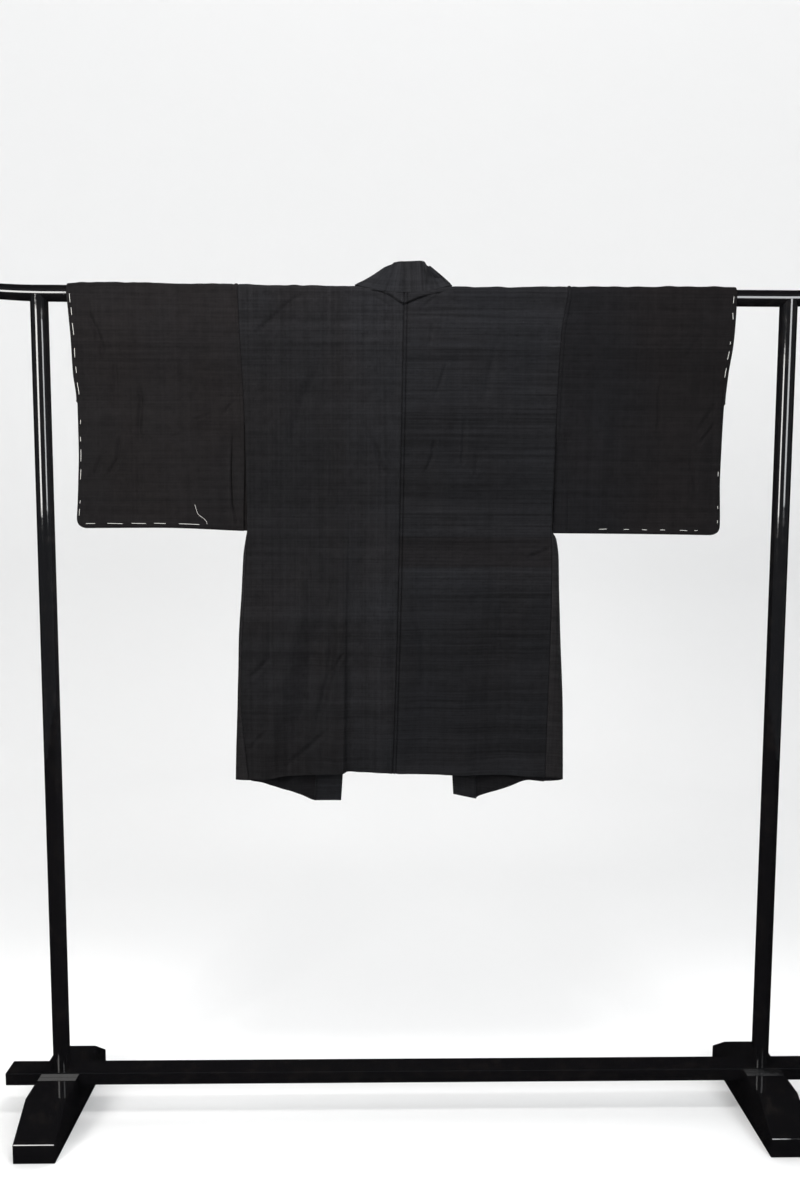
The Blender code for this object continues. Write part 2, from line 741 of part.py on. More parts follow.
def build_haori(collection):
    cloth = make_material(*CLOTH)
    collar_cloth = make_material(*COLLAR_CLOTH)
    for side in ("left", "right"):
        body_half(side, collection, cloth)
        gusset(side, collection, cloth)
        sleeve(side, collection, cloth)
    collar(collection, collar_cloth)


def main():
    clear_scene()
    parts = new_collection("haori_on_stand")
    cutters = new_collection("cutters")
    build_stand(parts, cutters)
    build_haori(parts)


main()
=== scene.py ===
"""Looks of a plain charcoal haori that hangs over the rail of a lacquered kimono stand.

Metres, +Z up, the back of the haori facing -Y. A drop is a depth below the rail's axis, a
span is a distance along X from the haori's own middle, and left is -X. The tables of forms
are in millimetres and degrees, and a part is a share from 0 to 1.
"""
import math

import bmesh
import bpy
import numpy as np
from mathutils import Matrix, Vector


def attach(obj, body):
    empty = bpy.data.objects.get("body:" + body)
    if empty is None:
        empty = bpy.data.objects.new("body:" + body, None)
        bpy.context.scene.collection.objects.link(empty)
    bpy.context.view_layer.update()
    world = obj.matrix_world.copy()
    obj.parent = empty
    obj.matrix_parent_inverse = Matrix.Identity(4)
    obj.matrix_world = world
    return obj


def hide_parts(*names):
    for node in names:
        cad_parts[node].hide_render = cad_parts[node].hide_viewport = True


# Sizes, as the solids have them
RAIL_HEIGHT = 1.650
RAIL_END_RISE = 0.35
POST_SPACING = 1.447
POST_RADIUS = 0.0165
HAORI_X = -0.025
WALL = 0.0013
CLOTH_RADIUS = 0.01675
COLLAR_RADIUS = 0.0173
COLLAR_WIDTH = 0.055
COLLAR_NECK_WIDTH = 0.0576
COLLAR_SEAM_SPAN = 0.0136
COLLAR_WALL = 0.0026
SEAM_GAP = 0.0002
ARMHOLE_DROP = 0.250
GUSSET_TOP_DROP = 0.268
CUFF_DROP = 0.205
SLEEVE_CORNER = 0.018
SLEEVE_EDGE_ROUNDING = 0.0040
SLEEVE_FOLD_ROOM = 0.030
PANEL_FOLD_ROOM = 1.0 / 12.0
BACK_SIDE_HEM = 0.945
FRONT_SIDE_HEM = 0.958
NECK_DEPTH = 0.080
RAIL_RUN = CLOTH_RADIUS * math.pi / 2
SIGN = {"left": -1.0, "right": 1.0}

# Sewing
THREAD_RADIUS = 0.00035
STITCH_DIP = 0.0012
EDGE_BASTING_INSET = 0.0064
HEM_BASTING_RISE = 0.0082

# How fine the cloth is modelled
BODY_COLUMNS = 118
BACK_ROWS = 290
FRONT_ROWS = 88
GUSSET_ROWS = 156
GUSSET_COLUMNS = 27
SLEEVE_COLUMNS = 148
SLEEVE_BACK_ROWS = 172
SLEEVE_FRONT_ROWS = 92
COLLAR_ROWS = 190
RAIL_ROWS = 12

# A colour ramp holds 32 stops: one at the top and four for each of these bands.
RAMP_BANDS = 7


def metres(table, *plain):
    """A table given in millimetres, except for its plain columns."""
    return {name: column if name in plain else [value / 1000.0 for value in column]
            for name, column in table.items()}


ARMHOLE = metres({
    "drop": (0, 70, 200, 250, 450, 470),
    "left": (-317.1, -314.3, -308.7, -307.5, -305.2, -305),
    "right": (315.8, 305, 299.4, 298.5, 295, 294.8),
})
CENTRE_SEAM = metres({
    "drop": (0, 200, 390, 590, 790, 945),
    "span": (1, -2, -5, -8.5, -14, -18.5),
})
GUSSET_SEAM = metres({
    "drop": (268, 350, 450, 500, 590, 700, 786, 860, 945),
    "left": (-306.3, -304.8, -302.2, -305.8, -310.5, -316.5, -318.5, -314, -305.5),
    "right": (297.2, 295, 291.8, 294.2, 294.5, 293, 291, 289.5, 288),
})
GUSSET_BULGE = metres({
    "drop": (268, 350, 450, 464, 500, 560, 640, 720, 786, 860, 945),
    "left": (0, 0.5, 2.2, 4.5, 7.2, 7.6, 9.1, 7.9, 9, 17.4, 28.4),
    "right": (0, 0.5, 2.6, 10.8, 14.5, 16.5, 20.5, 26, 30.9, 34.1, 37.2),
})
FRONT_EDGE = metres({
    "drop": (0, 100, 400, 700, 1000),
    "left": (-93.5, -104, -131, -155, -175.1),
    "right": (93.5, 101, 119, 135, 149.9),
})
HALF_DEPTH = metres({
    "drop": (0, 70, 150, 250, 268, 360, 450, 590, 690, 790, 945, 1000),
    "middle": (16.75, 19.6, 21.3, 21, 20.7, 18.4, 17.5, 19.5, 22, 22.2, 23, 23.2),
    "left": (16.75, 15.5, 13, 10.5, 10.4, 12, 14.5, 19, 21.2, 22.5, 18, 18),
    "right": (16.75, 15.5, 13, 10.5, 10.4, 11, 11.5, 11.5, 11.2, 10.5, 9.5, 9.5),
})
TOP_PUFF = metres({
    "span": (-640, -600, -500, -460, -424, -380, -330, -270, -233, -195, -150, 0, 130, 167, 205, 250, 300,
             400, 430, 480, 547, 600, 640),
    "rise": (1.5, 4.2, 4, 3.6, 1.4, 3, 2.5, 1.4, 0, 1.6, 0, 0, 0.5, 0, 0, 1.3, 1.8, 2.8, 2.1, 3, 4.2, 3.8,
             3.2),
})
BACK_HEM = metres({
    "span": (-305.5, -283, -200, -120, -107, -80, -40, -18.5, 14, 60, 101, 200, 287.6),
    "drop": (945, 945.5, 938, 932.5, 929.8, 931.5, 931.4, 933.8, 934.6, 937.1, 937.3, 940.8, 945.2),
})
FRONT_HEM = {"left": metres({
    "span": (-305.5, -285, -265, -248, -229, -207.7, -175.1, -120),
    "drop": (959, 963.6, 971.4, 976, 979.7, 987.2, 1001.2, 999),
}), "right": metres({
    "span": (105.8, 149.9, 158, 180.5, 221, 262, 287.6),
    "drop": (993, 997.8, 992.8, 984, 969.7, 957.7, 958.8),
})}
SLEEVE_EDGE = metres({
    "drop": (0, 50, 90, 150, 200, 300, 350, 400, 430, 470),
    "left": (-641.2, -637.5, -635.2, -633.6, -628.7, -629, -631.2, -634, -636.2, -636.8),
    "right": (641.2, 640, 637.8, 630.2, 626.6, 624.3, 623.8, 625.4, 626.4, 626.6),
})
SLEEVE_HEM = metres({
    "part": (0, 0.5, 1),
    "left": (452.4, 446.8, 447.8),
    "right": (455.2, 456.2, 458.2),
}, "part")
SLEEVE_HALF_DEPTH = metres({
    "drop": (0, 70, 150, 250, 350, 470),
    "depth": (16.75, 15.5, 13, 10.5, 9.2, 8.5),
})
# Below the arm a sleeve's inner edge is free (furi): how far it stands off the body.
FURI = metres({
    "drop": (250, 280, 330, 380, 420, 452),
    "left": (0, 0.8, 2, 4.4, 6.2, 6.6),
    "right": (0, 0.2, 0.5, 0.6, 0.5, 0.4),
})
# The pressed line beside that free edge: distance in from the armhole, depth and half width.
FURI_LINE = metres({
    "drop": (225, 262, 296, 345, 395, 428, 447),
    "left": (21.5, 22.2, 26.2, 28.2, 27.8, 22.5, 19),
    "right": (17, 21.5, 23.5, 26.2, 30, 31, 30.5),
    "left_depth": (0, 0.3, 3, 4.4, 4.8, 4.6, 4),
    "right_depth": (0.8, 1.3, 1.2, 1.4, 1.7, 1.9, 1.8),
    "left_width": (2, 1.8, 1.3, 1.3, 1.3, 1.3, 1.3),
    "right_width": (2, 2.2, 2.4, 2.6, 2.6, 2.6, 2.6),
})
# The collar's sewn edge round the neck: turn over the rail, then how far the band stands up
# and leans, in degrees, and how far the edge is lifted.
NECKLINE = metres({
    "part": (0, 0.25, 0.38, 0.44, 0.5, 0.7, 0.86, 1),
    "span": (0, 30, 43.4, 49.4, 55, 74, 87, 92.5),
    "turn": (82, 77, 71.6, 68.1, 64, 45, 21, 0),
    "left_lift": (90, 73, 65, 60, 54.5, 42.5, 33, 25),
    "right_lift": (90, 88, 86, 85.5, 84.5, 70, 56, 41.5),
    "left_tilt": (0,) * 8,
    "right_tilt": (0, 0, 8, 23, 29, 43, 38, 10),
    "rise": (0, 0, 0, 0.2, 1, 1, 1.8, 2.9),
}, "part", "turn", "left_lift", "right_lift", "left_tilt", "right_tilt")
# How the band lies down the fronts, in degrees.
COLLAR_LAY = metres({
    "drop": (0, 60, 300, 650, 1000),
    "lift": (2, -6, -5, -4, 0),
    "left_turn": (0, 4, 8, 6, 0),
    "right_turn": (0, 5, 14, 26, 36),
}, "lift", "left_turn", "right_turn")
# The fold under the back of the neck, where the yoke's slack drops over itself in a V.
NECK_FOLD = metres({
    "span": (-70, -60.7, -39.7, -24.5, -11.1, -3.4, 0.4, 8, 21.4, 42.3, 74.8, 86),
    "drop": (-8.5, -7.6, -4, 3.3, 12.5, 17.1, 18.2, 16.1, 10.4, 2.8, -4.9, -7.5),
    "step": (0, 2, 3.4, 4, 4.2, 4.2, 4.2, 4.4, 4.4, 3, 1, 0),
})
# The long pressed fold down the left back: its line, and how far its left side stands proud.
BACK_PLEAT = metres({
    "drop": (150, 296, 431, 548, 666, 786, 940),
    "span": (-105, -106, -107, -109, -111, -112, -114),
    "step": (0, 1, 2, 3, 4.4, 6, 8),
})

# Broad folds, in millimetres: start and end (span, drop), swell outward and half width.
FOLDS = {
    "back": (
        (-126, 220, -128, 980, 4.2, 22), (-84, 300, -82, 980, -3.4, 24), (-140, 500, -235, 960, -7.5, 26),
        (-170, 480, -275, 930, 6, 24), (-40, 200, -30, 900, 4, 30), (60, 180, 45, 980, -5, 30),
        (110, 400, 120, 980, 5.5, 30), (190, 480, 205, 980, -6, 32), (245, 420, 262, 960, 4, 22),
    ),
    "left_front": (
        (-255, 300, -262, 1020, 6, 26), (-205, 400, -222, 1020, -6, 26),
    ),
    "right_front": (
        (240, 280, 252, 1020, 5.5, 24), (185, 420, 205, 1020, -6, 26),
    ),
    "left_sleeve": (
        (-515, 120, -512, 430, -3, 22), (-570, 60, -592, 300, 2.8, 24), (-400, 80, -420, 420, 2.5, 32),
    ),
    "right_sleeve": (
        (500, 140, 503, 420, -3, 22), (575, 200, 592, 420, 2.6, 22), (400, 80, 385, 400, 2.5, 32),
    ),
}
# Creases, in millimetres: depth and half width, then the line it follows as (span, drop).
CREASES = {
    "back": (
        (4.6, 5.4, (-178, 0), (-210, 12), (-262, 58), (-302, 94)),
        (8.6, 13, (-161, 139), (-183, 179), (-197, 210), (-218, 292)),
        (8.6, 3.8, (-59, 271), (-49, 305), (-35, 350)), (5.4, 3.6, (-80, 238), (-66, 270), (-56, 300)),
        (4.6, 4.4, (-262, 620), (-261, 660), (-260, 704)), (4.2, 5, (-254, 694), (-284, 727), (-306, 747)),
        (2.1, 3, (-304, 476), (-275, 479), (-244, 488)), (1.8, 3, (-141, 507), (-113, 511)),
        (8.6, 8, (-131, 599), (-144, 736), (-165, 819), (-172, 884)), (5.4, 3.8, (-112, 685), (-144, 740)),
        (5.6, 5, (-141, 838), (-177, 874), (-204, 897), (-240, 932)),
        (3.8, 3.6, (-262, 842), (-282, 862), (-308, 890)),
        (1.5, 2.6, (-184, 536), (-182, 599), (-169, 658)), (3.6, 4, (-134, 536), (-148, 626)),
        (1.8, 6, (-234, 221), (-246, 278), (-238, 335)), (-1.9, 6, (-201, 509), (-194, 587), (-202, 666)),
        (4.8, 3.6, (300, 488), (282, 490), (265, 496), (239, 506)),
        (4.6, 9, (14, 571), (30, 623), (42, 670), (42, 730), (33, 790)),
        (5.4, 3.6, (63, 262), (57, 308), (39, 347)), (5.6, 3.6, (118, 228), (117, 293), (113, 336)),
        (3.6, 3.4, (141, 284), (143, 333), (137, 355)), (2.2, 2.8, (211, 228), (202, 256)),
        (3.2, 3.2, (76, 28), (71, 80)), (3.2, 3.2, (61, 42), (45, 112)),
        (3.6, 7, (192, 52), (175, 109), (163, 173), (158, 219)),
        (2, 8, (197, 583), (192, 636), (190, 696)), (1.6, 5, (134, 11), (138, 53)),
        (2.6, 8, (253, 766), (238, 816), (227, 877)), (3, 4, (72, -3), (50, 14), (28, 34)),
        (2.6, 3, (-60, 4), (-38, 16), (-18, 30)), (4.4, 3.4, (86, 118), (74, 160), (58, 204)),
        (3.4, 3.6, (-142, 240), (-139, 330), (-142, 420)), (3, 3.6, (-35, 30), (-22, 52), (-12, 84)),
    ),
    "left_front": (
        (3.6, 6, (-190, 2), (-222, 30), (-270, 70)), (5.6, 12, (-170, 180), (-196, 250), (-214, 330)),
        (5, 6, (-300, 420), (-276, 440), (-250, 480)), (3.2, 5, (-190, 560), (-210, 640), (-215, 720)),
        (4.5, 6, (-170, 780), (-200, 860), (-226, 940)), (2.5, 4, (-290, 780), (-272, 850), (-280, 920)),
    ),
    "right_front": (
        (3.2, 6, (170, 4), (205, 36), (262, 66)), (5, 11, (150, 200), (178, 290), (190, 380)),
        (5, 4, (292, 470), (268, 486), (240, 520)), (3.8, 6, (230, 600), (214, 690), (220, 770)),
        (4, 6, (160, 760), (178, 850), (176, 940)), (2.5, 4, (270, 800), (256, 880)),
    ),
    "left_sleeve": (
        (5.6, 5, (-603, 8), (-599, 44), (-587, 69), (-575, 104), (-573, 134)),
        (4.8, 4, (-555, 126), (-551, 155), (-550, 190)),
        (6.8, 4.4, (-509, 164), (-505, 206), (-511, 252), (-510, 284)),
        (6.2, 4.2, (-546, 262), (-552, 314), (-578, 358)), (5.4, 4.6, (-582, 306), (-600, 352)),
        (2.4, 3.2, (-587, 361), (-596, 422)), (2, 3, (-512, 293), (-518, 432)),
        (2.2, 3.2, (-429, 130), (-429, 162)), (2.2, 3, (-352, 234), (-327, 202)),
        (2, 3, (-410, 242), (-373, 230)), (2, 3, (-453, 273), (-424, 266)),
        (1.8, 5, (-463, 96), (-462, 141)), (2, 4, (-378, 8), (-373, 46)),
    ),
    "right_sleeve": (
        (2.9, 3.2, (503, 139), (497, 183), (498, 235), (496, 274)),
        (2.5, 5, (610, 200), (592, 231), (579, 250), (570, 273)),
        (3.8, 3, (612, 236), (593, 262), (572, 288)), (3.4, 3.2, (557, 306), (569, 339), (575, 380)),
        (1.8, 6, (579, 69), (564, 91), (544, 124)), (1.8, 7, (381, 159), (390, 216), (387, 274)),
        (1.6, 7, (440, 7), (456, 41), (480, 64)),
    ),
}
# Basting, in millimetres: stretches of thread by drop down the cuff edge and by span along
# the hem, and the points of a loose tail as (span, drop).
BASTING = {
    "left_edge": (
        (4, 21), (30, 44), (58, 82), (105, 123), (140, 152), (169, 193), (241, 248), (273, 281),
        (296, 321), (334, 355), (395, 400), (411, 424),
    ),
    "left_hem": (
        (-617, -598), (-576, -543), (-528, -497), (-483, -458), (-435, -390),
    ),
    "right_edge": (
        (1, 13.5), (32, 44), (86.7, 90.2), (104, 120), (135, 154), (335, 343), (402, 406), (430, 434.5),
    ),
    "right_hem": (
        (385, 401), (435, 444.5), (471, 480), (507, 516), (545, 560.5), (575, 580),
    ),
    "left_tail": (
        (-401, 400.8), (-397.4, 410.5), (-393.6, 419.2), (-384, 426), (-378.3, 431.8), (-376.4, 437.6),
    ),
}
# Weft bands: start and end drop in millimetres, brightness and warmth. One that ends at 960, past
# the hem, is a change of tone that lasts; it is the last of the seven in its ramp.
BANDS = {
    "left_back": (
        (50, 78, 1.03, 0), (489, 491, 1.12, 0), (632, 668, 0.9, 0.01), (763, 765, 0.88, 0),
        (788, 791, 1.12, 0), (808, 811, 0.88, 0), (867, 960, 0.92, 0),
    ),
    "right_back": (
        (93, 96, 1.14, -0.02), (105, 109, 0.88, 0), (167, 170, 0.84, 0), (177, 180, 0.9, 0),
        (201, 203, 0.86, 0), (264, 312, 0.93, 0), (372, 960, 0.84, 0), (404, 416.5, 1.12, 0),
        (418, 421.6, 0.62, 0), (423, 452, 1.08, 0), (465, 524, 0.8, 0.08), (524, 531, 1.1, 0),
        (565, 567.5, 0.78, 0), (575.5, 960, 0.8, 0), (781, 784, 0.86, 0), (834, 837, 0.84, 0),
        (856, 859, 0.86, 0), (866, 869, 1.1, 0), (876.5, 879, 0.84, 0), (890, 894, 0.86, 0),
        (903, 960, 1.1, 0), (914, 917, 0.84, 0), (926.5, 929, 1.1, 0),
    ),
    "left_sleeve": (
        (88, 92, 1.12, 0), (98, 104, 0.92, 0), (124, 128, 0.92, 0), (146, 149, 0.93, 0),
        (388, 399, 0.94, -0.02),
    ),
    "right_sleeve": (
        (60, 66, 0.95, 0.02), (312.5, 315.5, 0.8, 0), (316.5, 318.5, 1.08, 0),
    ),
}
# Painted light and shade down the cloth, for how the lamps fall on it: drop in millimetres and brightness.
PAINTED_LIGHT_AND_SHADE = {
    "left_back": (
        (0, 1.06), (100, 0.92), (200, 0.83), (360, 0.81), (480, 0.92), (600, 1.24), (740, 1.05),
        (940, 1.16),
    ),
    "right_back": (
        (0, 0.98), (180, 0.93), (360, 0.76), (450, 1.24), (600, 1.3), (740, 1.4), (940, 1.34),
    ),
    "left_sleeve": (
        (0, 0.97), (120, 0.86), (300, 0.89), (450, 0.93),
    ),
    "right_sleeve": (
        (0, 0.98), (120, 0.83), (250, 0.94), (450, 1.05),
    ),
}
# Patterns of the weave and dye: kind, waves to a metre across and along the cloth, shift,
# detail, roughness, and how much each changes the tone and the relief.
SILK_PATTERNS = (
    ("weft", 70.0, 1150.0, 0.0, 1.0, 0.5, 0.26, 0.6),
    ("weft", 5.0, 330.0, 3.1, 2.0, 0.6, 0.28, 1.3),
    ("weft", 1.6, 125.0, 4.7, 2.0, 0.7, 0.44, 0.8),
    ("weft", 0.5, 26.0, 7.7, 3.0, 0.65, 0.40, 0.0),
    ("warp", 1100.0, 60.0, 1.3, 1.0, 0.5, 0.24, 0.4),
    ("warp", 210.0, 2.2, 5.9, 2.0, 0.6, 0.30, 0.9),
    ("warp", 62.0, 0.9, 6.4, 2.0, 0.65, 0.20, 0.0),
    ("dye", 55.0, 60.0, 9.2, 3.0, 0.65, 0.30, 0.7),
)
SILKS = {
    # On the left back, the dark to light step of across is painted shade, darker on the outer side; its
    # warm and cool ends are the cloth's own tone.
    "left_back": {
        "base": (0.00779, 0.00772, 0.00825), "seed": 2.0, "warmth": 0.42, "weft": 0.8,
        "warp": 1.15, "dark_lines": 0.10, "across": (-0.125, -0.095, 0.12, -0.12, 0.95, 1.12),
    },
    "right_back": {
        "base": (0.00818, 0.00825, 0.00898), "seed": 23.0, "warmth": 0.36, "weft": 1.15,
        "warp": 0.55, "dye": 0.7, "dark_lines": 0.30,
    },
    "left_sleeve": {
        "base": (0.00775, 0.00724, 0.00748), "seed": 41.0, "warmth": 0.72, "weft": 0.7,
        "warp": 0.7, "dark_lines": 0.06,
    },
    "right_sleeve": {
        "base": (0.00600, 0.00565, 0.00603), "seed": 63.0, "warmth": 0.52, "weft": 0.7,
        "warp": 0.7, "dark_lines": 0.06, "across": (0.40, 0.50, -0.40, 0.40, 1.0, 1.0),
    },
    "band": {"base": (0.00850, 0.00860, 0.00930), "seed": 87.0, "warmth": 0.30},
    "gusset": {"base": (0.01010, 0.00985, 0.01030), "seed": 101.0, "warmth": 0.60},
    # The wrong side of the cloth: its own tone, set darker still as painted shade where the fronts show
    # under the back hem.
    "inside": {"base": (0.00580, 0.00580, 0.00640), "seed": 131.0, "warmth": 0.50},
}


def along(table, column, at):
    """Reads a column of a table at an array of keys, on a smooth curve through its rows."""
    keys = np.array(table[next(iter(table))], float)
    values = np.array(table[column], float)
    at = np.clip(np.asarray(at, float), keys[0], keys[-1])
    row = np.clip(np.searchsorted(keys, at, side="left") - 1, 0, len(keys) - 2)
    rises = np.diff(values) / np.diff(keys)
    before, after = rises[:-1], rises[1:]
    same_way = before * after > 0.0
    total = np.where(same_way, before + after, 1.0)
    inner = np.where(same_way, 2.0 * before * after / total, 0.0)
    slopes = np.concatenate((rises[:1], inner, rises[-1:]))
    width = (keys[1:] - keys[:-1])[row]
    t = (at - keys[row]) / width
    start = (1.0 + 2.0 * t) * (1.0 - t) ** 2 * values[row]
    end = t * t * (3.0 - 2.0 * t) * values[row + 1]
    start_pull = t * (1.0 - t) ** 2 * width * slopes[row]
    end_pull = t * t * (t - 1.0) * width * slopes[row + 1]
    return start + end + start_pull + end_pull


def ease(value):
    value = np.clip(value, 0.0, 1.0)
    return value * value * (3.0 - 2.0 * value)


def mix(low, high, part):
    return low + (high - low) * part


def strip(distance, width):
    """1 at an edge, falling to 0 at a width from it."""
    return np.exp(-((distance / width) ** 2))


def sides_of(away, sharpness):
    """Shares of the left and of the right side of a step."""
    turn = 0.5 * np.tanh(away / sharpness)
    return 0.5 - turn, 0.5 + turn


def fold_swell(folds, span, drop):
    total = np.zeros_like(span)
    for row in folds:
        start_span, start_drop, end_span, end_drop, swell, reach = np.array(row) / 1000.0
        part = (drop - start_drop) / (end_drop - start_drop)
        line = mix(start_span, end_span, np.clip(part, 0.0, 1.0))
        total += swell * ease(part * 2.5) * strip(span - line, reach)
    return total


def crease_swell(creases, span, drop):
    """Soft troughs with low ridges beside them, each fading out at the ends of its line."""
    total = np.zeros_like(span)
    for depth, width, *line in creases:
        line = [(x / 1000.0, z / 1000.0) for x, z in line]
        lengths = [math.dist(a, b) for a, b in zip(line, line[1:])]
        nearest = np.full(span.shape, 1e9)
        part = np.zeros_like(span)
        run = 0.0
        for (x0, z0), (x1, z1), length in zip(line, line[1:], lengths):
            t = ((span - x0) * (x1 - x0) + (drop - z0) * (z1 - z0)) / length ** 2
            t = np.clip(t, 0.0, 1.0)
            away = np.hypot(span - x0 - t * (x1 - x0), drop - z0 - t * (z1 - z0))
            closer = away < nearest
            nearest = np.where(closer, away, nearest)
            part = np.where(closer, (run + t * length) / sum(lengths), part)
            run += length
        fade = ease(part / 0.30) * ease((1.0 - part) / 0.30)
        across = (nearest / (width / 1000.0)) ** 2
        total -= depth / 1000.0 * fade * (np.exp(-across) - 0.32 * np.exp(-across / 5.0))
    return total


def ripple(span, drop, seed, height):
    """Slight unevenness of hung cloth: low waves in many directions, mostly upright ones."""
    longest, shortest = 0.090, 0.022
    waves = np.random.default_rng(seed)
    total = np.zeros_like(span)
    for _ in range(14):
        length = shortest * (longest / shortest) ** waves.random()
        angle = waves.normal(0.0, 0.55)
        phase = waves.random() * 2.0 * math.pi
        where = span * math.cos(angle) + drop * math.sin(angle)
        sway = 0.15 * np.sin(drop * 9.0 + phase)
        share = (length / longest) ** 0.8
        total += share * np.sin(2.0 * math.pi * where / length + phase + sway)
    return total * height / 3.0


def hanging(span, depth, drop):
    return np.stack((HAORI_X + span, depth, RAIL_HEIGHT - drop), axis=-1)


def over_rail(span, radius, turn, swell):
    angle = np.radians(turn)
    high = (radius + along(TOP_PUFF, "rise", span)) * np.cos(angle)
    flat = radius * np.sin(angle)
    return np.stack((HAORI_X + span, flat + swell * np.sin(angle),
                     RAIL_HEIGHT + high + swell * np.cos(angle)), axis=-1)


def spaced(low, high, count, *spots):
    """Places from low to high, closer together around spots given as (place, reach, gain)."""
    place = np.linspace(low, high, 6001)
    density = np.ones_like(place)
    for centre, reach, gain in spots:
        density += gain * strip(place - centre, reach)
    total = np.concatenate(([0.0], np.cumsum((density[1:] + density[:-1]) / 2.0)))
    return np.interp(np.linspace(0.0, total[-1], count), total, place)


def placed(name, data):
    item = bpy.data.objects.new(name, data)
    bpy.context.scene.collection.objects.link(item)
    return item


def formed(name, form, *materials, smooth=True):
    """An object from a form, with its materials."""
    mesh = bpy.data.meshes.new(name)
    form.to_mesh(mesh)
    form.free()
    if smooth:
        mesh.shade_smooth()
    for material in materials:
        mesh.materials.append(material)
    return placed(name, mesh)


def skin(form, rings):
    """Adds faces between rings of corners."""
    for low, high in zip(rings, rings[1:]):
        for corners in zip(low, low[1:], high[1:], high):
            form.faces.new(corners)


def grid_faces(index):
    """Faces between the rows and columns of a grid of point numbers."""
    corners = (index[:-1, :-1], index[:-1, 1:], index[1:, 1:], index[1:, :-1])
    return np.stack(corners, axis=-1).reshape(-1, 4).tolist()


def cloth_form(points, faces, lie):
    """A form in which each vertex also has its place in the flat cloth."""
    mesh = bpy.data.meshes.new("cloth")
    mesh.from_pydata(points, [], faces)
    layer = mesh.uv_layers.new(name="cloth")
    corners = np.array([lie[corner] for face in faces for corner in face], np.float32)
    layer.uv.foreach_set("vector", corners.ravel())
    form = bmesh.new()
    form.from_mesh(mesh)
    bpy.data.meshes.remove(mesh)
    return form


def cloth_piece(name, side, points, lie, *materials):
    """A cloth panel from a grid of points, with its wall and its place in the flat cloth."""
    if side == "left":
        points, lie = points[:, ::-1], lie[:, ::-1]
    index = np.arange(points[..., 0].size).reshape(points.shape[:2])
    form = cloth_form(points.reshape(-1, 3).tolist(), grid_faces(index),
                      lie.reshape(-1, 2).tolist())
    bmesh.ops.remove_doubles(form, verts=form.verts, dist=2e-6)
    item = formed(name + side, form, *materials)
    thicken = item.modifiers.new("wall", "SOLIDIFY")
    thicken.material_offset = 1
    thicken.thickness = WALL
    thicken.offset = 0.0
    thicken.use_even_offset = True
    thicken.use_quality_normals = True
    return item


def rail_drop(turns, span):
    """Drops that carry the folds of the back and front on over the rail."""
    return -CLOTH_RADIUS * np.radians(90.0 - np.abs(turns)) + 0.0 * span


def panel(name, side, back, turns, top_span, swell, front, *materials):
    """A panel that hangs over the rail, from its back, its turn over the rail and its front."""
    turns = turns + 0.0 * top_span
    top = over_rail(top_span, CLOTH_RADIUS, turns, swell)
    span = np.concatenate((back[1], top_span, front[1]))
    lie = np.concatenate((-(back[2] + RAIL_RUN), CLOTH_RADIUS * np.radians(turns),
                          front[2] + RAIL_RUN))
    return cloth_piece(name, side, np.concatenate((back[0], top, front[0])),
                       np.stack((span, lie), -1), *materials)


# Body

def body_side_span(side, drop):
    armhole = along(ARMHOLE, side, drop) - SIGN[side] * SEAM_GAP / 2
    return np.where(drop <= ARMHOLE_DROP, armhole, along(GUSSET_SEAM, side, drop))


def body_half_depth(side, part, drop):
    return mix(along(HALF_DEPTH, "middle", drop), along(HALF_DEPTH, side, drop), ease(part))


def edge_room(part):
    return ease(part / PANEL_FOLD_ROOM) * ease((1.0 - part) / PANEL_FOLD_ROOM)


def pleat_swell(span, drop):
    away = span - along(BACK_PLEAT, "span", drop)
    left, right = sides_of(away, 0.0022)
    left = left * strip(np.minimum(away, 0.0), 0.034)
    right = right * strip(np.maximum(away, 0.0), 0.022)
    return along(BACK_PLEAT, "step", drop) * (0.62 * left - 0.38 * right)


def neck_swell(span, drop):
    """Slack above the V bulges out and turns under along it."""
    below = drop - along(NECK_FOLD, "drop", span)
    over, under = sides_of(below, 0.0008)
    swell = 0.75 * over * strip(below, 0.0100) - 0.45 * under * strip(below, 0.0042)
    return along(NECK_FOLD, "step", span) * (swell - 0.42 * strip(below - 0.0008, 0.0011))


def seam_swell(side, span, drop, inner, outer):
    """Panel edges roll in to their seams, and the centre seam's turning shows beside it."""
    swell = -0.0013 * strip(span - outer, 0.0016)
    swell -= 0.0024 * strip(span - inner, 0.0014)
    if side == "left":
        return swell + 0.0006 * strip(span - inner + 0.0035, 0.0025)
    turning = along(CENTRE_SEAM, "span", drop) + mix(0.0066, 0.0060, ease(drop / 0.8))
    swell -= 0.0028 * strip(span - turning, 0.0014)
    return swell + 0.0004 * strip(span - turning + 0.0034, 0.0020)


def back_sheet(side, part, step):
    hem_span = mix(CENTRE_SEAM["span"][-1], body_side_span(side, BACK_SIDE_HEM), part)
    drop = step / BACK_SIDE_HEM * along(BACK_HEM, "drop", hem_span)
    inner = along(CENTRE_SEAM, "span", drop) + SIGN[side] * SEAM_GAP / 2
    outer = body_side_span(side, step)
    span = mix(inner, outer, part)
    room = edge_room(part)
    swell = fold_swell(FOLDS["back"], span, drop) * room
    swell += crease_swell(CREASES["back"], span, drop) * ease((1.0 - part) * 30.0)
    swell += pleat_swell(span, drop)
    swell += neck_swell(span, drop)
    swell += ripple(span, drop, 11, 0.0008) * room
    swell += seam_swell(side, span, drop, inner, outer)
    return hanging(span, -body_half_depth(side, part, step) - swell, drop), span, drop


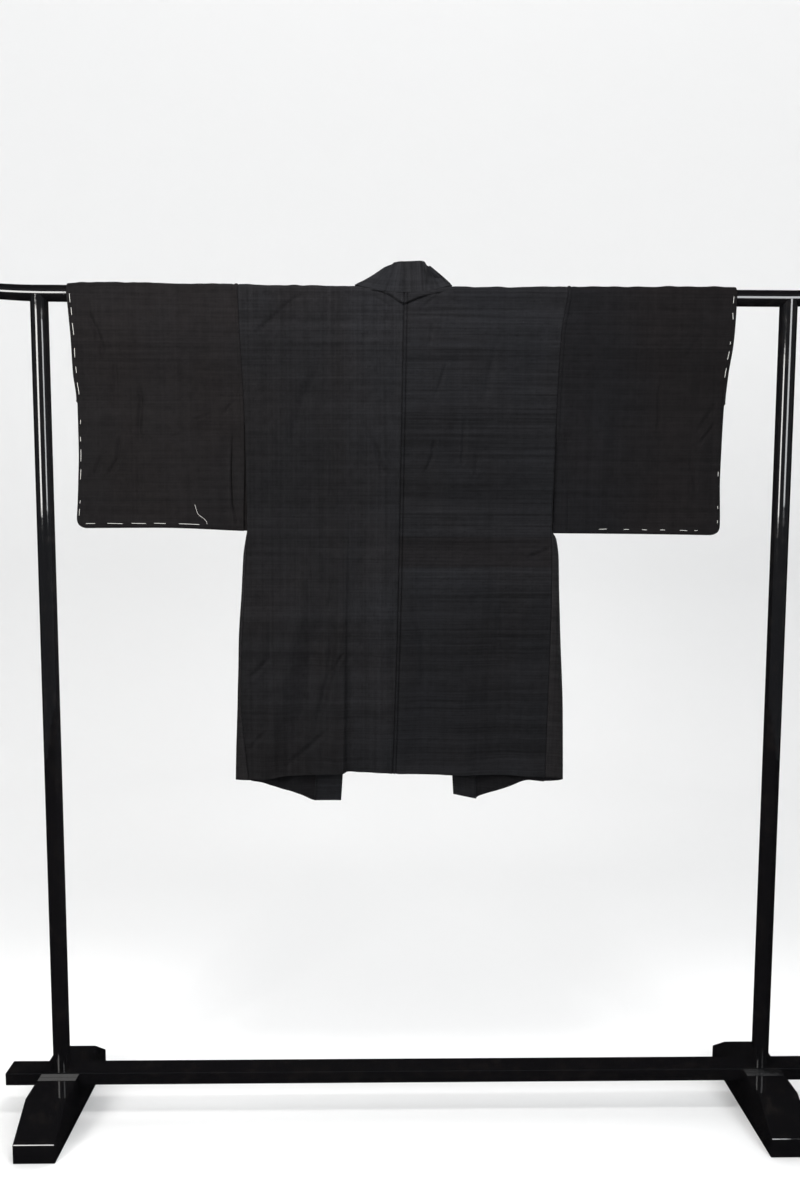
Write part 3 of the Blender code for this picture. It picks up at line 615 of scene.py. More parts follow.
def front_sheet(side, part, step):
    hem_span = mix(along(FRONT_EDGE, side, 1.0), body_side_span(side, BACK_SIDE_HEM), part)
    drop = step / BACK_SIDE_HEM * along(FRONT_HEM[side], "drop", hem_span)
    inner = along(FRONT_EDGE, side, drop)
    outer = body_side_span(side, step)
    span = mix(inner, outer, part)
    swell = fold_swell(FOLDS[side + "_front"], span, drop)
    swell += crease_swell(CREASES[side + "_front"], span, drop)
    swell += ripple(span, drop, 12, 0.0009)
    swell *= edge_room(part)
    swell -= 0.0012 * (strip(span - outer, 0.0016) + strip(span - inner, 0.0014))
    return hanging(span, body_half_depth(side, part, step) + swell, drop), span, drop


def body_panel(side, material, inside):
    sign, hem = SIGN[side], BACK_SIDE_HEM
    spots = [(0.012, 0.014, 5.0), (1.0, 0.010, 6.0)]
    if side == "left":
        spots = [(0.0, 0.012, 6.0), (1.0, 0.010, 6.0), (0.340, 0.018, 2.2)]
    part = spaced(0.0, 1.0, BODY_COLUMNS, *spots)[None, :]
    back_steps = spaced(0.0, hem, BACK_ROWS, (0.008, 0.014, 5.0), (hem, 0.003, 6.0))[::-1, None]
    front_steps = spaced(0.0, hem, FRONT_ROWS, (hem, 0.003, 14.0))[:, None]

    reach = np.linspace(0.0, 1.0, 2 * RAIL_ROWS)
    front_turns = np.linspace(0.0, 90.0, RAIL_ROWS + 1)[1:-1]
    front_spans = mix(NECKLINE["span"][-1], FRONT_EDGE["right"][0], front_turns / 90.0)
    turns = np.concatenate((-along(NECKLINE, "turn", reach), front_turns))[:, None]
    spans = np.concatenate((along(NECKLINE, "span", reach), front_spans))[:, None]
    inner = sign * np.maximum(spans, SEAM_GAP / 2)
    inner[0] = CENTRE_SEAM["span"][0] + sign * SEAM_GAP / 2
    outer = body_side_span(side, np.zeros((1, 1)))
    top_span = mix(inner, outer, part)
    down = rail_drop(turns, top_span)
    swell = crease_swell(CREASES["back"], top_span, down) + neck_swell(top_span, down)
    swell *= ease(-turns / 20.0)
    swell += ripple(top_span, down, 11, 0.0008) * edge_room(part)
    swell -= 0.0012 * strip(top_span - outer, 0.0016)
    return panel("silk_body_", side, back_sheet(side, part, back_steps), turns, top_span,
                 swell, front_sheet(side, part, front_steps), material, inside)


# Gussets

def gusset_piece(side, material, inside):
    """The tapering strip under an arm: half an ellipse from the back's seam to the front's."""
    sign, hem = SIGN[side], BACK_SIDE_HEM
    turn = np.linspace(-90.0, 90.0, 97)
    sine, cosine = np.sin(np.radians(turn)), np.cos(np.radians(turn))
    hems = mix(hem, FRONT_SIDE_HEM, (sine + 1.0) / 2.0)
    columns = np.linspace(0.0, 1.0, GUSSET_COLUMNS)
    points, lie = [], []
    for step in spaced(GUSSET_TOP_DROP, hem, GUSSET_ROWS, (hem, 0.003, 6.0))[::-1]:
        depth, bulge, seam = (float(along(table, side, step))
                              for table in (HALF_DEPTH, GUSSET_BULGE, GUSSET_SEAM))
        path = hanging(seam + sign * bulge * cosine, depth * sine, step / hem * hems)
        runs = np.cumsum(np.linalg.norm(np.diff(path, axis=0), axis=1))
        lengths = np.concatenate(([0.0], runs))
        at = mix(SEAM_GAP, lengths[-1] - SEAM_GAP, columns)
        row = np.stack([np.interp(at, lengths, path[:, axis]) for axis in range(3)], -1)
        inward = 0.0010 * (strip(at, 0.0016) + strip(lengths[-1] - at, 0.0016))
        tuck = 0.0016 * strip(at - 0.42 * lengths[-1], 0.0040) * ease((step - 0.4) / 0.3)
        row[:, 0] -= sign * (inward + tuck) * np.interp(at, lengths, cosine)
        row[:, 1] -= np.sign(row[:, 1]) * inward * 0.6
        points.append(row)
        lie.append(np.stack((at, np.full_like(at, -step)), -1))
    return cloth_piece("silk_gusset_", side, np.array(points), np.array(lie), material, inside)


# Sleeves

def edge_round(inset):
    near = 1.0 - np.minimum(inset / SLEEVE_EDGE_ROUNDING, 1.0)
    return np.sqrt(np.maximum(1.0 - near * near, 0.0))


def furi_swell(side, span, drop):
    """The pressed line that runs beside the free inner edge, below the arm."""
    sign = SIGN[side]
    line = along(ARMHOLE, side, drop) + sign * along(FURI_LINE, side, drop)
    depth = along(FURI_LINE, side + "_depth", drop) * ease((drop - 0.225) / 0.05)
    away = (span - line) * sign
    trough = strip(away, along(FURI_LINE, side + "_width", drop))
    return depth * (0.22 * strip(away - 0.004, 0.004) - trough)


def armhole_swell(from_seam, attached=1.0):
    """Cloth rises from the armhole seam, and the turning inside shows beside it."""
    swell = 0.0011 * strip(from_seam - 0.0035, 0.0028) - 0.0006 * strip(from_seam, 0.0010)
    return swell - 0.0010 * strip(from_seam - 0.0078, 0.0016) * attached


def sleeve_swell(side, span, height, face, room):
    seed, waves = {"left": 21, "right": 22}[side], 0.0008
    creases = CREASES[side + "_sleeve"]
    if face > 0.0:
        seed, waves = seed + 5, 0.0009
        creases = [(depth, width, *[(x * 0.96 - 4.0, z * 1.04 + 4.0) for x, z in line])
                   for depth, width, *line in creases]
    swell = fold_swell(FOLDS[side + "_sleeve"], span, height)
    swell += crease_swell(creases, span, height)
    return (swell + ripple(span, height, seed, waves)) * room


def sleeve_face(side, part, row, face):
    """One face of a sleeve, back (-1) or front (1), at rows given as a share of its drop."""
    sign = SIGN[side]
    hem = along(SLEEVE_HEM, side, part)
    drop = row * hem
    rise = hem - drop
    inner = along(ARMHOLE, side, drop) + sign * SEAM_GAP / 2
    if face < 0.0:
        inner = inner + sign * along(FURI, side, drop) * (drop > ARMHOLE_DROP)
    outer = along(SLEEVE_EDGE, side, drop)
    inset = (1.0 - part) * np.abs(outer - inner)
    across = np.clip(1.0 - inset / SLEEVE_CORNER, 0.0, 1.0)
    down = np.clip(1.0 - rise / SLEEVE_CORNER, 0.0, 1.0)
    round_across = across * np.sqrt(1.0 - down * down / 2.0)
    round_down = down * np.sqrt(1.0 - across * across / 2.0)
    corner = (inset < SLEEVE_CORNER) & (rise < SLEEVE_CORNER)
    span = outer - sign * np.where(corner, SLEEVE_CORNER * (1.0 - round_across), inset)
    height = np.where(corner, hem - SLEEVE_CORNER * (1.0 - round_down), drop)
    room = ease(part / PANEL_FOLD_ROOM) * ease(inset / SLEEVE_FOLD_ROOM)
    swell = sleeve_swell(side, span, height, face, room * ease(rise / SLEEVE_FOLD_ROOM))
    if face < 0.0:
        swell += furi_swell(side, span, height) * ease(rise / 0.004)
    edge = np.minimum(inset, np.where(height >= 0.0, rise, 1.0))
    swell += 0.0006 * strip(edge - 0.0100, 0.0050) - 0.0004 * strip(edge - 0.0045, 0.0016)
    from_seam = np.abs(span - inner)
    depth = along(SLEEVE_HALF_DEPTH, "depth", drop) + swell
    depth += armhole_swell(from_seam, ease((0.262 - height) / 0.012))
    close = ease((height - ARMHOLE_DROP) / 0.05) * (1.0 - ease((from_seam - 0.004) / 0.060))
    free = 0.0030 if face < 0.0 or side == "right" else -0.0004
    depth = mix(depth, free + swell, close)
    depth *= edge_round(rise)
    depth *= np.where(drop >= CUFF_DROP, edge_round(inset), 1.0)
    return hanging(span, face * depth, height), span, height


def sleeve_piece(side, material):
    part = spaced(0.0, 1.0, SLEEVE_COLUMNS, (0.004, 0.012, 4.0), (0.083, 0.016, 3.0),
                  (1.0, 0.004, 16.0), (1.0, 0.035, 2.0))[None, :]
    edges = ((1.0, 0.003, 16.0), (1.0, 0.025, 2.0))
    back_rows = spaced(0.0, 1.0, SLEEVE_BACK_ROWS, *edges)[::-1, None]
    front_rows = spaced(0.0, 1.0, SLEEVE_FRONT_ROWS, *edges)[:, None]
    turns = np.linspace(-90.0, 90.0, 2 * RAIL_ROWS + 1)[1:-1, None]
    inner, outer = ARMHOLE[side][0] + SIGN[side] * SEAM_GAP / 2, SLEEVE_EDGE[side][0]
    top_span = mix(inner, outer, part) + 0.0 * turns
    down = rail_drop(turns, top_span)
    room = ease(part / PANEL_FOLD_ROOM) * ease(np.abs(outer - top_span) / SLEEVE_FOLD_ROOM)
    before, behind = (sleeve_swell(side, top_span, down, face, room) for face in (1.0, -1.0))
    swell = mix(before, behind, ease((10.0 - turns) / 20.0))
    swell += armhole_swell(np.abs(top_span - inner))
    return panel("silk_sleeve_", side, sleeve_face(side, part, back_rows, -1.0), turns,
                 top_span, swell, sleeve_face(side, part, front_rows, 1.0), material, material)


# Collar

def collar_neck_row(sign, span, turn, lift, tilt, rise):
    lift, tilt = math.radians(lift), math.radians(tilt)
    sewn = over_rail(np.array(sign * span), COLLAR_RADIUS, np.array(turn), np.array(0.0))
    across = Vector((-sign * math.cos(lift), math.sin(lift) * math.sin(tilt),
                     math.sin(lift) * math.cos(tilt)))
    around = (90.0 - abs(turn)) / 90.0 if turn > 0.0 else 1.0
    wide = mix(1.0, COLLAR_NECK_WIDTH / COLLAR_WIDTH, around)
    return Vector(sewn) + Vector((0.0, 0.0, rise)), across * wide, -0.0008


def collar_front_row(side, step):
    sewn, _, _ = front_sheet(side, np.zeros((1, 1)), np.full((1, 1), step))
    sewn = Vector(sewn[0, 0])
    drop = RAIL_HEIGHT - sewn.z
    lift = math.radians(float(along(COLLAR_LAY, "lift", drop)))
    turn = math.radians(float(along(COLLAR_LAY, side + "_turn", drop)))
    flat = math.cos(lift)
    across = Vector((-SIGN[side] * flat * math.cos(turn), flat * math.sin(turn), math.sin(lift)))
    past_neck = float(ease(drop / NECK_DEPTH))
    sewn.y += 0.0012 + (COLLAR_RADIUS - CLOTH_RADIUS) * (1.0 - past_neck)
    return sewn - across * 0.0035 * past_neck, across, mix(-0.0008, 0.0, past_neck)


def collar_rows():
    """Sewn edge, direction across the band and start gap, from left hem over the neck."""
    rows = []
    for side, sign in SIGN.items():
        run = []
        for step in spaced(0.0, BACK_SIDE_HEM, COLLAR_ROWS, (BACK_SIDE_HEM, 0.003, 4.0))[::-1]:
            run.append(collar_front_row(side, step))
        for turn in np.linspace(90.0, 0.0, 9)[1:-1]:
            past = turn / 90.0
            lift = mix(NECKLINE[side + "_lift"][-1], COLLAR_LAY["lift"][0], past)
            tilt = NECKLINE[side + "_tilt"][-1] * (1.0 - past)
            rise = NECKLINE["rise"][-1] * math.cos(math.radians(turn))
            span = mix(NECKLINE["span"][-1], FRONT_EDGE["right"][0], past)
            run.append(collar_neck_row(sign, span, turn, lift, tilt, rise))
        for reach in spaced(0.0, 1.0, 56, (0.115, 0.02, 4.0), (0.41, 0.03, 3.0))[::-1]:
            columns = "span", "turn", side + "_lift", side + "_tilt", "rise"
            span, turn, *lie = (float(along(NECKLINE, column, reach)) for column in columns)
            run.append(collar_neck_row(sign, span, -turn, *lie))
        rows += run[-2::-1] if rows else run
    return rows


def collar_piece(material):
    """A folded band: its section is flat and thin, with a round fold at the free edge."""
    rows = collar_rows()
    half = COLLAR_WALL / 2
    inner = [0.0, 0.0010, 0.0024, 0.0050, *np.linspace(0.0090, COLLAR_WIDTH - 0.0040, 12)]
    low = [(reach, half * (0.62 + 0.38 * float(ease(reach / 0.006)))) for reach in inner]
    fold = [(COLLAR_WIDTH - half + half * math.cos(turn), half * math.sin(turn))
            for turn in np.radians(np.linspace(90.0, -90.0, 9))]
    section = low + fold + [(reach, -thick) for reach, thick in reversed(low)]
    points, lie = [], []
    run = 0.0
    for index, (sewn, across, gap) in enumerate(rows):
        before = rows[max(index - 1, 0)][0]
        after = rows[min(index + 1, len(rows) - 1)][0]
        run += (sewn - before).length
        out = (after - before).normalized().cross(across).normalized()
        wave = 0.0008 * math.sin(run * 41.0) + 0.0006 * math.sin(run * 97.0 + 1.3)
        for reach, thick in section:
            bow = wave * math.sin(math.pi * reach / COLLAR_WIDTH)
            if sewn.y < 0.0:
                seam = (sewn.x - HAORI_X - COLLAR_SEAM_SPAN) / 0.0010
                bow -= math.copysign(0.0007 * math.exp(-seam * seam), -thick * out.y)
            points.append(sewn + across * (reach if reach > 0.0 else gap) + out * (thick + bow))
            lie.append((reach if thick > 0 else -reach, run))
    index = np.arange(len(points)).reshape(len(rows), -1)
    faces = grid_faces(np.hstack((index, index[:, :1])))
    form = cloth_form(points, faces + [index[0, ::-1].tolist(), index[-1].tolist()], lie)
    bmesh.ops.recalc_face_normals(form, faces=form.faces)
    return formed("silk_collar", form, material)


# Basting thread

def thread_tube(form, path, radius=THREAD_RADIUS):
    """Adds a round thread along a path of points."""
    last = len(path) - 1
    rings = []
    for index, point in enumerate(path):
        tangent = (path[min(index + 1, last)] - path[max(index - 1, 0)]).normalized()
        side = tangent.cross(Vector((0.0, 1.0, 0.0))).normalized()
        up = side.cross(tangent)
        thick = radius * (0.55 if index in (0, last) else 1.0)
        ring = []
        for turn in np.radians((0.0, 60.0, 120.0, 180.0, 240.0, 300.0)):
            offset = side * math.cos(turn) + up * math.sin(turn)
            ring.append(form.verts.new(point + offset * thick))
        rings.append(ring + ring[:1])
    skin(form, rings)
    form.faces.new(rings[0][-2::-1])
    form.faces.new(rings[-1][:-1])


def sleeve_surface(side, face, part, row):
    """A point on the outside of a sleeve, for the middle of a thread."""
    point, _, _ = sleeve_face(side, np.array([[part]]), np.array([[row]]), face)
    place = Vector(point[0, 0])
    place.y += face * (WALL / 2 + THREAD_RADIUS * 0.7)
    return place


def beside_edge(side, face, drop, inset):
    wide = float(along(SLEEVE_EDGE, side, drop)) - float(along(ARMHOLE, side, drop))
    hem = float(along(SLEEVE_HEM, side, 1.0))
    return sleeve_surface(side, face, 1.0 - inset / abs(wide), drop / hem)


def above_hem(side, face, span, rise):
    inner, outer = (float(along(table, side, 0.44)) for table in (ARMHOLE, SLEEVE_EDGE))
    part = (span - inner) / (outer - inner)
    hem = float(along(SLEEVE_HEM, side, part))
    return sleeve_surface(side, face, part, (hem - rise) / hem)


def stitch(form, side, face, place, start, end, offset, slant=0.0):
    """One visible run of thread, which dips into the cloth at both ends."""
    path = []
    for part in np.linspace(0.0, 1.0, 8):
        at = mix(start - STITCH_DIP, end + STITCH_DIP, part)
        point = place(side, face, at, offset + slant * (part - 0.5))
        if part in (0.0, 1.0):
            point.y -= face * 0.0009
        path.append(point)
    thread_tube(form, path)


def smooth_path(points, steps):
    """A Catmull-Rom curve through points."""
    path = []
    last = len(points) - 1
    for index in range(last):
        a = points[max(index - 1, 0)]
        b, c = points[index], points[index + 1]
        d = points[min(index + 2, last)]
        for t in np.arange(steps) / steps:
            path.append(0.5 * ((2 * b) + (c - a) * t + (2 * a - 5 * b + 4 * c - d) * t ** 2 +
                               (3 * b - a - 3 * c + d) * t ** 3))
    path.append(points[last])
    return path


def basting(side, material):
    form = bmesh.new()
    uneven = np.random.default_rng({"left": 5, "right": 6}[side])
    for name, place, offset, slants, shifts in (
        ("_edge", beside_edge, EDGE_BASTING_INSET, 0.0008, 0.0003),
        ("_hem", above_hem, HEM_BASTING_RISE, 0.0006, 0.0002),
    ):
        runs = [(start / 1000.0, end / 1000.0) for start, end in BASTING[side + name]]
        for start, end in runs:
            slant = uneven.normal(0.0, slants)
            shift = uneven.normal(0.0, shifts)
            stitch(form, side, -1.0, place, start, end, offset + shift, slant)
        for (_, start), (end, _) in zip(runs, runs[1:]):
            middle, half = (start + end) / 2, min((end - start) * 0.36, 0.009)
            stitch(form, side, 1.0, place, middle - half, middle + half, offset)
    tail = []
    hem = float(along(SLEEVE_HEM, side, 0.5))
    for index, (span, drop) in enumerate(BASTING.get(side + "_tail", ())):
        point = above_hem(side, -1.0, span / 1000.0, hem - drop / 1000.0)
        point.y -= 0.0006 + 0.0012 * math.sin(index * 1.7) ** 2
        tail.append(point)
    if tail:
        thread_tube(form, smooth_path(tail, 5), THREAD_RADIUS * 0.70)
    return formed("basting_" + side, form, material)


# Materials

class Nodes:
    """Builds a material's nodes, each with its inputs given by name."""

    def __init__(self, name):
        self.material = bpy.data.materials.new(name)
        self.material.use_nodes = True
        self.tree = self.material.node_tree

    def feed(self, socket, value):
        if isinstance(value, bpy.types.NodeSocket):
            self.tree.links.new(value, socket)
        else:
            socket.default_value = value

    def feed_named(self, item, inputs):
        for key, value in inputs.items():
            self.feed(item.inputs[key.replace("_", " ")], value)

    def add(self, kind, settings=(), values=(), **inputs):
        """A node with its settings, its first inputs in order and others by name."""
        item = self.tree.nodes.new(kind)
        for key, value in dict(settings).items():
            setattr(item, key, value)
        for socket, value in zip(item.inputs, values):
            self.feed(socket, value)
        self.feed_named(item, inputs)
        return item

    def shade(self, **inputs):
        self.feed_named(self.tree.nodes["Principled BSDF"], inputs)
        return self.material

    def math(self, operation, *values):
        return self.add("ShaderNodeMath", {"operation": operation}, values).outputs[0]

    def vector_math(self, operation, *values):
        return self.add("ShaderNodeVectorMath", {"operation": operation}, values)

    def noise(self, vector, scale, detail=2.0, rough=0.5, dimensions="3D"):
        settings = {"noise_dimensions": dimensions}
        return self.add("ShaderNodeTexNoise", settings, Vector=vector, Scale=scale,
                        Detail=detail, Roughness=rough).outputs["Fac"]

    def pattern(self, flat, x, y, shift, detail=1.0, rough=0.5):
        """Noise in the flat cloth, with waves to a metre across and along it."""
        shifted = (shift, shift * 1.7, 0.0)
        vector = self.vector_math("MULTIPLY_ADD", flat, (x, y, 1.0), shifted).outputs[0]
        return self.noise(vector, 1.0, detail, rough, "2D")

    def spread(self, value, low, high, new_low, new_high):
        values = (value, low, high, new_low, new_high)
        return self.add("ShaderNodeMapRange", (), values).outputs[0]

    def tint(self, factor, first, second, blend="MIX"):
        item = self.add("ShaderNodeMix", {"data_type": "RGBA", "blend_type": blend}, [factor])
        self.feed(item.inputs[6], first)
        self.feed(item.inputs[7], second)
        return item.outputs[2]

    def times(self, first, second):
        return self.tint(1.0, first, second, "MULTIPLY")

    def painted(self, colour, place, stops):
        """A colour under a ramp of stops in which a middle grey changes nothing."""
        item = self.add("ShaderNodeValToRGB", (), [place])
        ramp = item.color_ramp
        while len(ramp.elements) > 1:
            ramp.elements.remove(ramp.elements[-1])
        ramp.elements[0].position, ramp.elements[0].color = stops[0]
        for position, tone in stops[1:]:
            ramp.elements.new(position).color = tone
        return self.times(colour, self.times(item.outputs[0], (2.0, 2.0, 2.0, 1.0)))

    def bump(self, strength, distance, height):
        return self.add("ShaderNodeBump", Strength=strength, Distance=distance, Height=height)


def grey(value, warm=0.0):
    return (value * (1.0 + warm), value, value * (1.0 - 0.4 * warm), 1.0)


def band_stops(bands):
    """Colour stops down the cloth, with plain cloth between the bands."""
    soft = 0.0006
    stops = [(0.0, grey(0.5))]
    for low, high, bright, warm in bands:
        low, high = low / 1000.0 + RAIL_RUN, high / 1000.0 + RAIL_RUN
        colour = grey(0.5 * bright, warm)
        stops += [(low - soft, grey(0.5)), (low + soft, colour),
                  (high - soft, colour), (high + soft, grey(0.5))]
    return stops


def silk(name, base, seed, warmth, weft=1.0, warp=1.0, dye=1.0, dark_lines=0.0, across=()):
    """Slubbed plain-weave silk: threads, slubs and bands of the weft, mottled dye, and painted light and
    shade down and across some panels.
    """
    nodes = Nodes("silk_" + name)
    flat = nodes.add("ShaderNodeUVMap", {"uv_map": "cloth"}).outputs[0]
    total, weave = 0.0, []
    strengths = {"weft": weft, "warp": warp, "dye": dye}
    for kind, x, y, shift, detail, rough, tone, relief in SILK_PATTERNS:
        part = nodes.pattern(flat, x, y, seed + shift, detail, rough)
        strength = strengths[kind]
        centred = nodes.math("SUBTRACT", part, 0.5)
        total = nodes.math("MULTIPLY_ADD", centred, tone * strength, total)
        weave.append((part, relief * strength))
    bright = nodes.spread(total, -0.20, 0.20, 0.62, 1.38)
    fleck = nodes.pattern(flat, 130.0, 300.0, seed + 13.0)
    bright = nodes.math("MULTIPLY", bright, nodes.spread(fleck, 0.69, 0.76, 1.0, 0.72))
    if dark_lines:
        lines = nodes.pattern(flat, 3.0, 210.0, seed + 15.0, 2.0, 0.55)
        darker = nodes.spread(lines, 0.30, 0.42, 1.0 - dark_lines, 1.0)
        bright = nodes.math("MULTIPLY", bright, darker)
    plain = nodes.times((*base, 1.0), bright)
    cloud = nodes.pattern(flat, 7.0, 6.0, seed + 11.0, 2.0)
    warm = nodes.spread(cloud, 0.36, 0.64, 0.0, 1.0)
    shift = nodes.math("MULTIPLY_ADD", warm, 0.32, warmth - 0.16)
    axes = nodes.add("ShaderNodeSeparateXYZ", Vector=flat).outputs
    if across:
        # The step across the span: its warmth change is the cloth's own tone, its dark to light change is
        # painted shade.
        span_from, span_to, cool, warm_end, dark, light = across
        side_warm = nodes.spread(axes[0], span_from, span_to, cool, warm_end)
        shift = nodes.math("ADD", shift, side_warm)
        plain = nodes.times(plain, nodes.spread(axes[0], span_from, span_to, dark, light))
    cast = nodes.tint(shift, (0.955, 1.0, 1.075, 1.0), (1.075, 0.985, 0.965, 1.0))
    colour = nodes.times(plain, cast)
    down = nodes.math("MULTIPLY", axes[1], -1.0)
    # Painted light and shade: the cloth made brighter and darker down its drop.
    if name in PAINTED_LIGHT_AND_SHADE:
        colour = nodes.painted(colour, down, [(drop / 1000.0 + RAIL_RUN, grey(0.5 * part))
                                              for drop, part in PAINTED_LIGHT_AND_SHADE[name]])
    if name in BANDS:
        uneven = nodes.math("MULTIPLY_ADD", cloud, 0.0024, -0.0012)
        place = nodes.math("ADD", down, uneven)
        for first in range(0, len(BANDS[name]), RAMP_BANDS):
            stops = band_stops(BANDS[name][first:first + RAMP_BANDS])
            colour = nodes.painted(colour, place, stops)

    pitch = 2.0 * math.pi / 0.00105
    over, under = (nodes.math("SINE", nodes.math("MULTIPLY", axis, pitch)) for axis in axes[:2])
    height = nodes.math("MULTIPLY", nodes.math("MULTIPLY", over, under), 0.16)
    for part, weight in weave:
        if weight:
            height = nodes.math("MULTIPLY_ADD", part, weight, height)
    weft_line = weave[1][0]
    return nodes.shade(Base_Color=colour, Normal=nodes.bump(0.35, 0.0003, height).outputs[0],
                       Roughness=nodes.spread(weft_line, 0.3, 0.7, 0.78, 0.66),
                       Specular_IOR_Level=0.08, Sheen_Weight=0.012, Sheen_Roughness=0.45)


def cotton_thread():
    nodes = Nodes("basting_cotton")
    place = nodes.add("ShaderNodeTexCoord").outputs["Object"]
    fibre = nodes.noise(place, 2200.0, 3.0)
    colour = nodes.tint(fibre, (0.62, 0.61, 0.58, 1.0), (0.90, 0.89, 0.86, 1.0))
    return nodes.shade(Base_Color=colour, Roughness=0.8,
                       Normal=nodes.bump(0.4, 0.0002, fibre).outputs[0])


def away_from_post(nodes, place, post_x):
    """The direction out from a post's upright axis, so that its highlights are unbroken."""
    x, y, _ = nodes.add("ShaderNodeSeparateXYZ", Vector=place).outputs
    return nodes.add("ShaderNodeCombineXYZ", X=nodes.math("SUBTRACT", x, post_x), Y=y)


def away_from_rail(nodes, place):
    """The direction out from the rail's axis, which curves up at both ends."""
    x, y, z = nodes.add("ShaderNodeSeparateXYZ", Vector=place).outputs
    past = nodes.math("SUBTRACT", nodes.math("ABSOLUTE", x), POST_SPACING / 2 - POST_RADIUS)
    past = nodes.math("MAXIMUM", past, 0.0)
    rise = nodes.math("MULTIPLY", nodes.math("MULTIPLY", past, past), RAIL_END_RISE)
    up = nodes.math("SUBTRACT", nodes.math("SUBTRACT", z, RAIL_HEIGHT), rise)
    return nodes.add("ShaderNodeCombineXYZ", Y=y, Z=up)


def round_normal(nodes, place, away, *centre):
    """A smooth normal for a faceted round bar, except on its ends."""
    facet = nodes.add("ShaderNodeNewGeometry").outputs["Normal"]
    outward = nodes.vector_math("NORMALIZE", away(nodes, place, *centre).outputs[0]).outputs[0]
    facing = nodes.vector_math("DOT_PRODUCT", facet, outward).outputs["Value"]
    return nodes.tint(nodes.math("GREATER_THAN", facing, 0.8), facet, outward)


def lacquer(name, away=None, *centre):
    """Thick black lacquer: deep gloss, slight waviness, dust and rubbed patches."""
    nodes = Nodes(name)
    place = nodes.add("ShaderNodeTexCoord").outputs["Object"]
    wave, peel = nodes.noise(place, 22.0), nodes.noise(place, 260.0)
    rub = nodes.noise(place, 38.0, 5.0, 0.7)
    colour = nodes.tint(nodes.spread(rub, 0.52, 0.75, 0.0, 1.0),
                        (0.0042, 0.0040, 0.0045, 1.0), (0.0095, 0.0082, 0.0078, 1.0))
    bump = nodes.bump(0.22, 0.0012, nodes.math("MULTIPLY_ADD", peel, 0.035, wave))
    if away:
        nodes.feed(bump.inputs["Normal"], round_normal(nodes, place, away, *centre))
    return nodes.shade(Base_Color=colour, Roughness=nodes.spread(rub, 0.40, 0.75, 0.035, 0.13),
                       Specular_IOR_Level=0.50, Normal=bump.outputs[0])


# Stage, light and camera

def turned(form, profile, turns):
    """Adds a surface turned round Z from its profile of (radius, height) points."""
    rings = [[form.verts.new((radius * math.cos(turn), radius * math.sin(turn), height))
              for turn in turns] for radius, height in profile]
    skin(form, rings)
    return rings


def paper_item(name, form, paper):
    """A piece of the stage made from a form, seen in no reflection."""
    bmesh.ops.remove_doubles(form, verts=form.verts, dist=1e-5)
    bmesh.ops.recalc_face_normals(form, faces=form.faces)
    item = formed(name, form, paper)
    item.visible_glossy = False
    return item


def pale_stage():
    """A plain pale round studio: the floor curves up into the wall all the way round.

    The near wall is a piece of its own that only the camera sees, with the dark flag behind it.
    """
    floor_radius, bend, top, near_top = 2.7, 1.0, 4.7, (3.08, 4.40)
    wall, wall_from = floor_radius + bend, 11
    profile = [(0.8, 0.0), (1.7, 0.0)]
    for turn in np.radians(np.linspace(0.0, 90.0, 17)):
        profile.append((floor_radius + bend * math.sin(turn), bend - bend * math.cos(turn)))
    profile += [(wall, 3.0), (wall, 3.8)]
    turns = np.radians(np.linspace(0.0, 360.0, 97))
    form, near = bmesh.new(), bmesh.new()
    rings = turned(form, profile[:wall_from + 1], turns)
    form.faces.new(rings[0][:-1])
    turned(form, profile[wall_from:] + [(wall, top)], turns[:49])
    turned(near, profile[wall_from:] + [near_top], turns[48:])
    paper = Nodes("stage_paper").shade(Base_Color=(0.866, 0.866, 0.866, 1.0), Roughness=0.9,
                                       Specular_IOR_Level=0.1)
    paper_item("stage", form, paper)
    near_wall = paper_item("stage_near_wall", near, paper)
    near_wall.visible_diffuse = False
    near_wall.visible_shadow = False


def dark_flag():
    """A dark screen behind and over the camera, so that the lacquer reflects black."""
    form = bmesh.new()
    turned(form, ((3.76, 0.0), (3.76, 3.79), (3.15, 4.44)),
           np.radians(np.linspace(180.0, 360.0, 49)))
    cloth = Nodes("flag_cloth").shade(Base_Color=(0.0, 0.0, 0.0, 1.0), Emission_Strength=0.13,
                                      Emission_Color=(0.82, 0.92, 1.0, 1.0))
    item = formed("flag", form, cloth, smooth=False)
    item.visible_camera = False


def area_light(name, place, target, width, height, power, colour):
    light = bpy.data.lights.new(name, "AREA")
    light.shape = "RECTANGLE"
    light.size = width
    light.size_y = height
    light.energy = power
    light.color = colour
    item = placed(name, light)
    item.location = place
    item.rotation_euler = (Vector(target) - Vector(place)).to_track_quat("-Z", "Y").to_euler()
    item.visible_camera = False
    return item


def light_scene():
    """White surroundings, a soft box on each side of the camera with the left one stronger, a
    strip over the back, and a small box on the far side for the fronts."""
    bpy.context.scene.view_settings.view_transform = "Standard"
    world = bpy.data.worlds.new("studio")
    bpy.context.scene.world = world
    world.use_nodes = True
    back = world.node_tree.nodes["Background"]
    back.inputs["Color"].default_value = (1.0, 1.0, 1.0, 1.0)
    back.inputs["Strength"].default_value = 1.42
    world.cycles_visibility.glossy = False
    area_light("left_box", (-1.72, -1.98, 1.68), (-0.2, 0.0, 1.35), 0.85, 0.86, 46.0,
               (1.0, 0.99, 0.97))
    area_light("right_box", (1.28, -1.92, 1.72), (0.1, 0.0, 1.30), 0.75, 0.90, 26.0,
               (0.96, 0.98, 1.0))
    strip_light = area_light("top_strip", (-0.10, -0.55, 2.20), (-0.08, 0.0, 1.55), 0.5, 0.25,
                             14.0, (1.0, 0.99, 0.98))
    strip_light.visible_glossy = False
    front_box = area_light("front_box", (1.9, 1.25, 1.90), (0.0, 0.0, 1.28), 0.6, 0.6, 14.0,
                           (1.0, 1.0, 1.0))
    front_box.data.spread = math.radians(40.0)
    front_box.visible_glossy = False


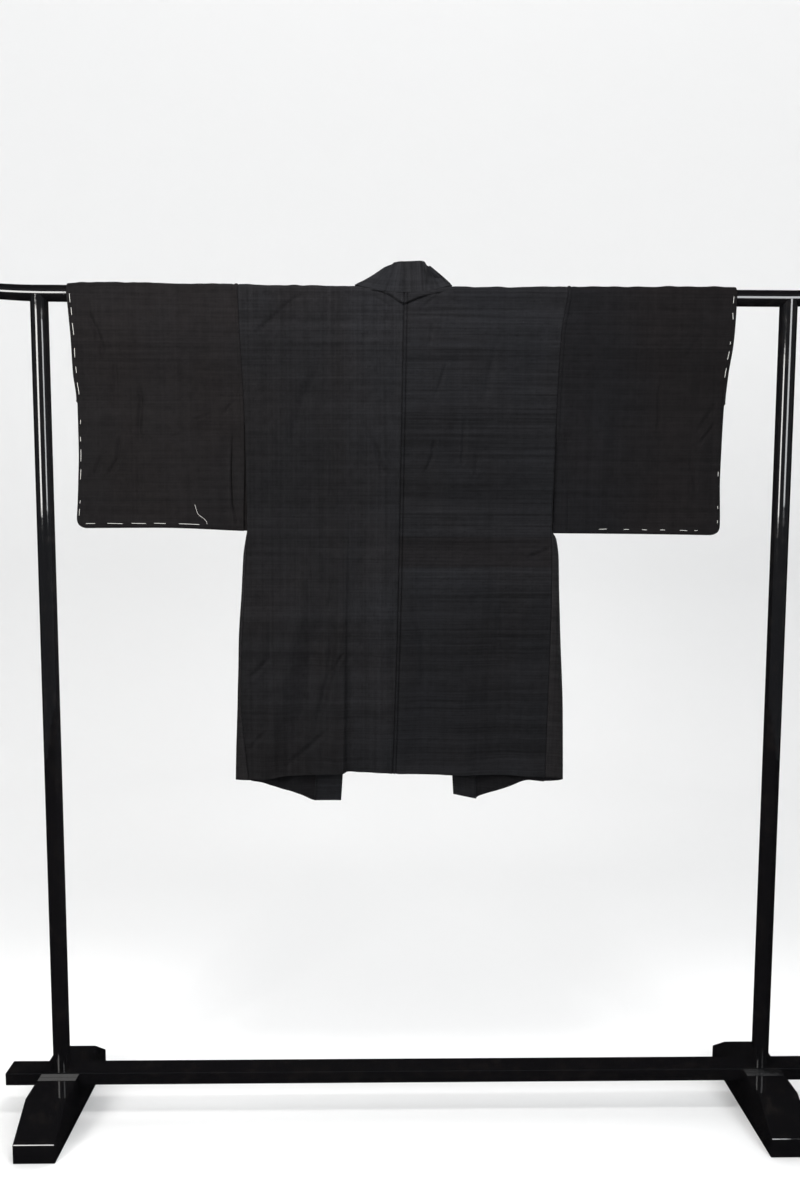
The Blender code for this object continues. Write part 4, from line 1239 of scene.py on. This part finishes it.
def aim_camera():
    matrix = Matrix.Translation((-0.059, -1.770, 1.210))
    for turn, axis in ((-0.940, "Z"), (90.0 - 4.797, "X"), (0.174, "Z")):
        matrix = matrix @ Matrix.Rotation(math.radians(turn), 4, axis)
    camera = bpy.data.cameras.new("camera")
    camera.sensor_width = 36.0
    camera.lens = 895.7 * 36.0 / 1200.0
    item = placed("camera", camera)
    item.matrix_world = matrix
    bpy.context.scene.camera = item


def dress_stand():
    flat_black = lacquer("lacquer_base")
    blacks = {
        "rail": lacquer("lacquer_rail", away_from_rail),
        "post_left": lacquer("lacquer_post_left", away_from_post, -POST_SPACING / 2),
        "post_right": lacquer("lacquer_post_right", away_from_post, POST_SPACING / 2),
        "base_bar": flat_black, "foot_left": flat_black, "foot_right": flat_black,
    }
    for name, black in blacks.items():
        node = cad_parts[name]
        node.data.materials.clear()
        node.data.materials.append(black)


def declare(item, node):
    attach(item, "root")
    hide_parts(node)


def main():
    light_scene()
    aim_camera()
    pale_stage()
    dark_flag()
    dress_stand()
    thread = cotton_thread()
    silks = {name: silk(name, **settings) for name, settings in SILKS.items()}
    inside = silks["inside"]
    for side, area in (("left", 0.53), ("right", 0.52)):
        body = body_panel(side, silks[side + "_back"], inside)
        declare(body, "body_" + side)
    for side, area in (("left", 0.032), ("right", 0.036)):
        gusset = gusset_piece(side, silks["gusset"], inside)
        declare(gusset, "gusset_" + side)
    for side in SIGN:
        threads = basting(side, thread)
        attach(threads, "root")
        sleeve = sleeve_piece(side, silks[side + "_sleeve"])
        declare(sleeve, "sleeve_" + side)
    declare(collar_piece(silks["band"]), "collar")


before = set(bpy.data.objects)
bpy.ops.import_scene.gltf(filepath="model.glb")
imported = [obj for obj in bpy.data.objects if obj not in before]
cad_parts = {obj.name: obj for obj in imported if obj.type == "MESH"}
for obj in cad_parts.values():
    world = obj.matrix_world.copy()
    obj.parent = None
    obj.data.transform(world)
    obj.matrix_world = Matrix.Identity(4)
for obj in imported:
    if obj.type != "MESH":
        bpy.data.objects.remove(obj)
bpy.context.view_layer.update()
main()
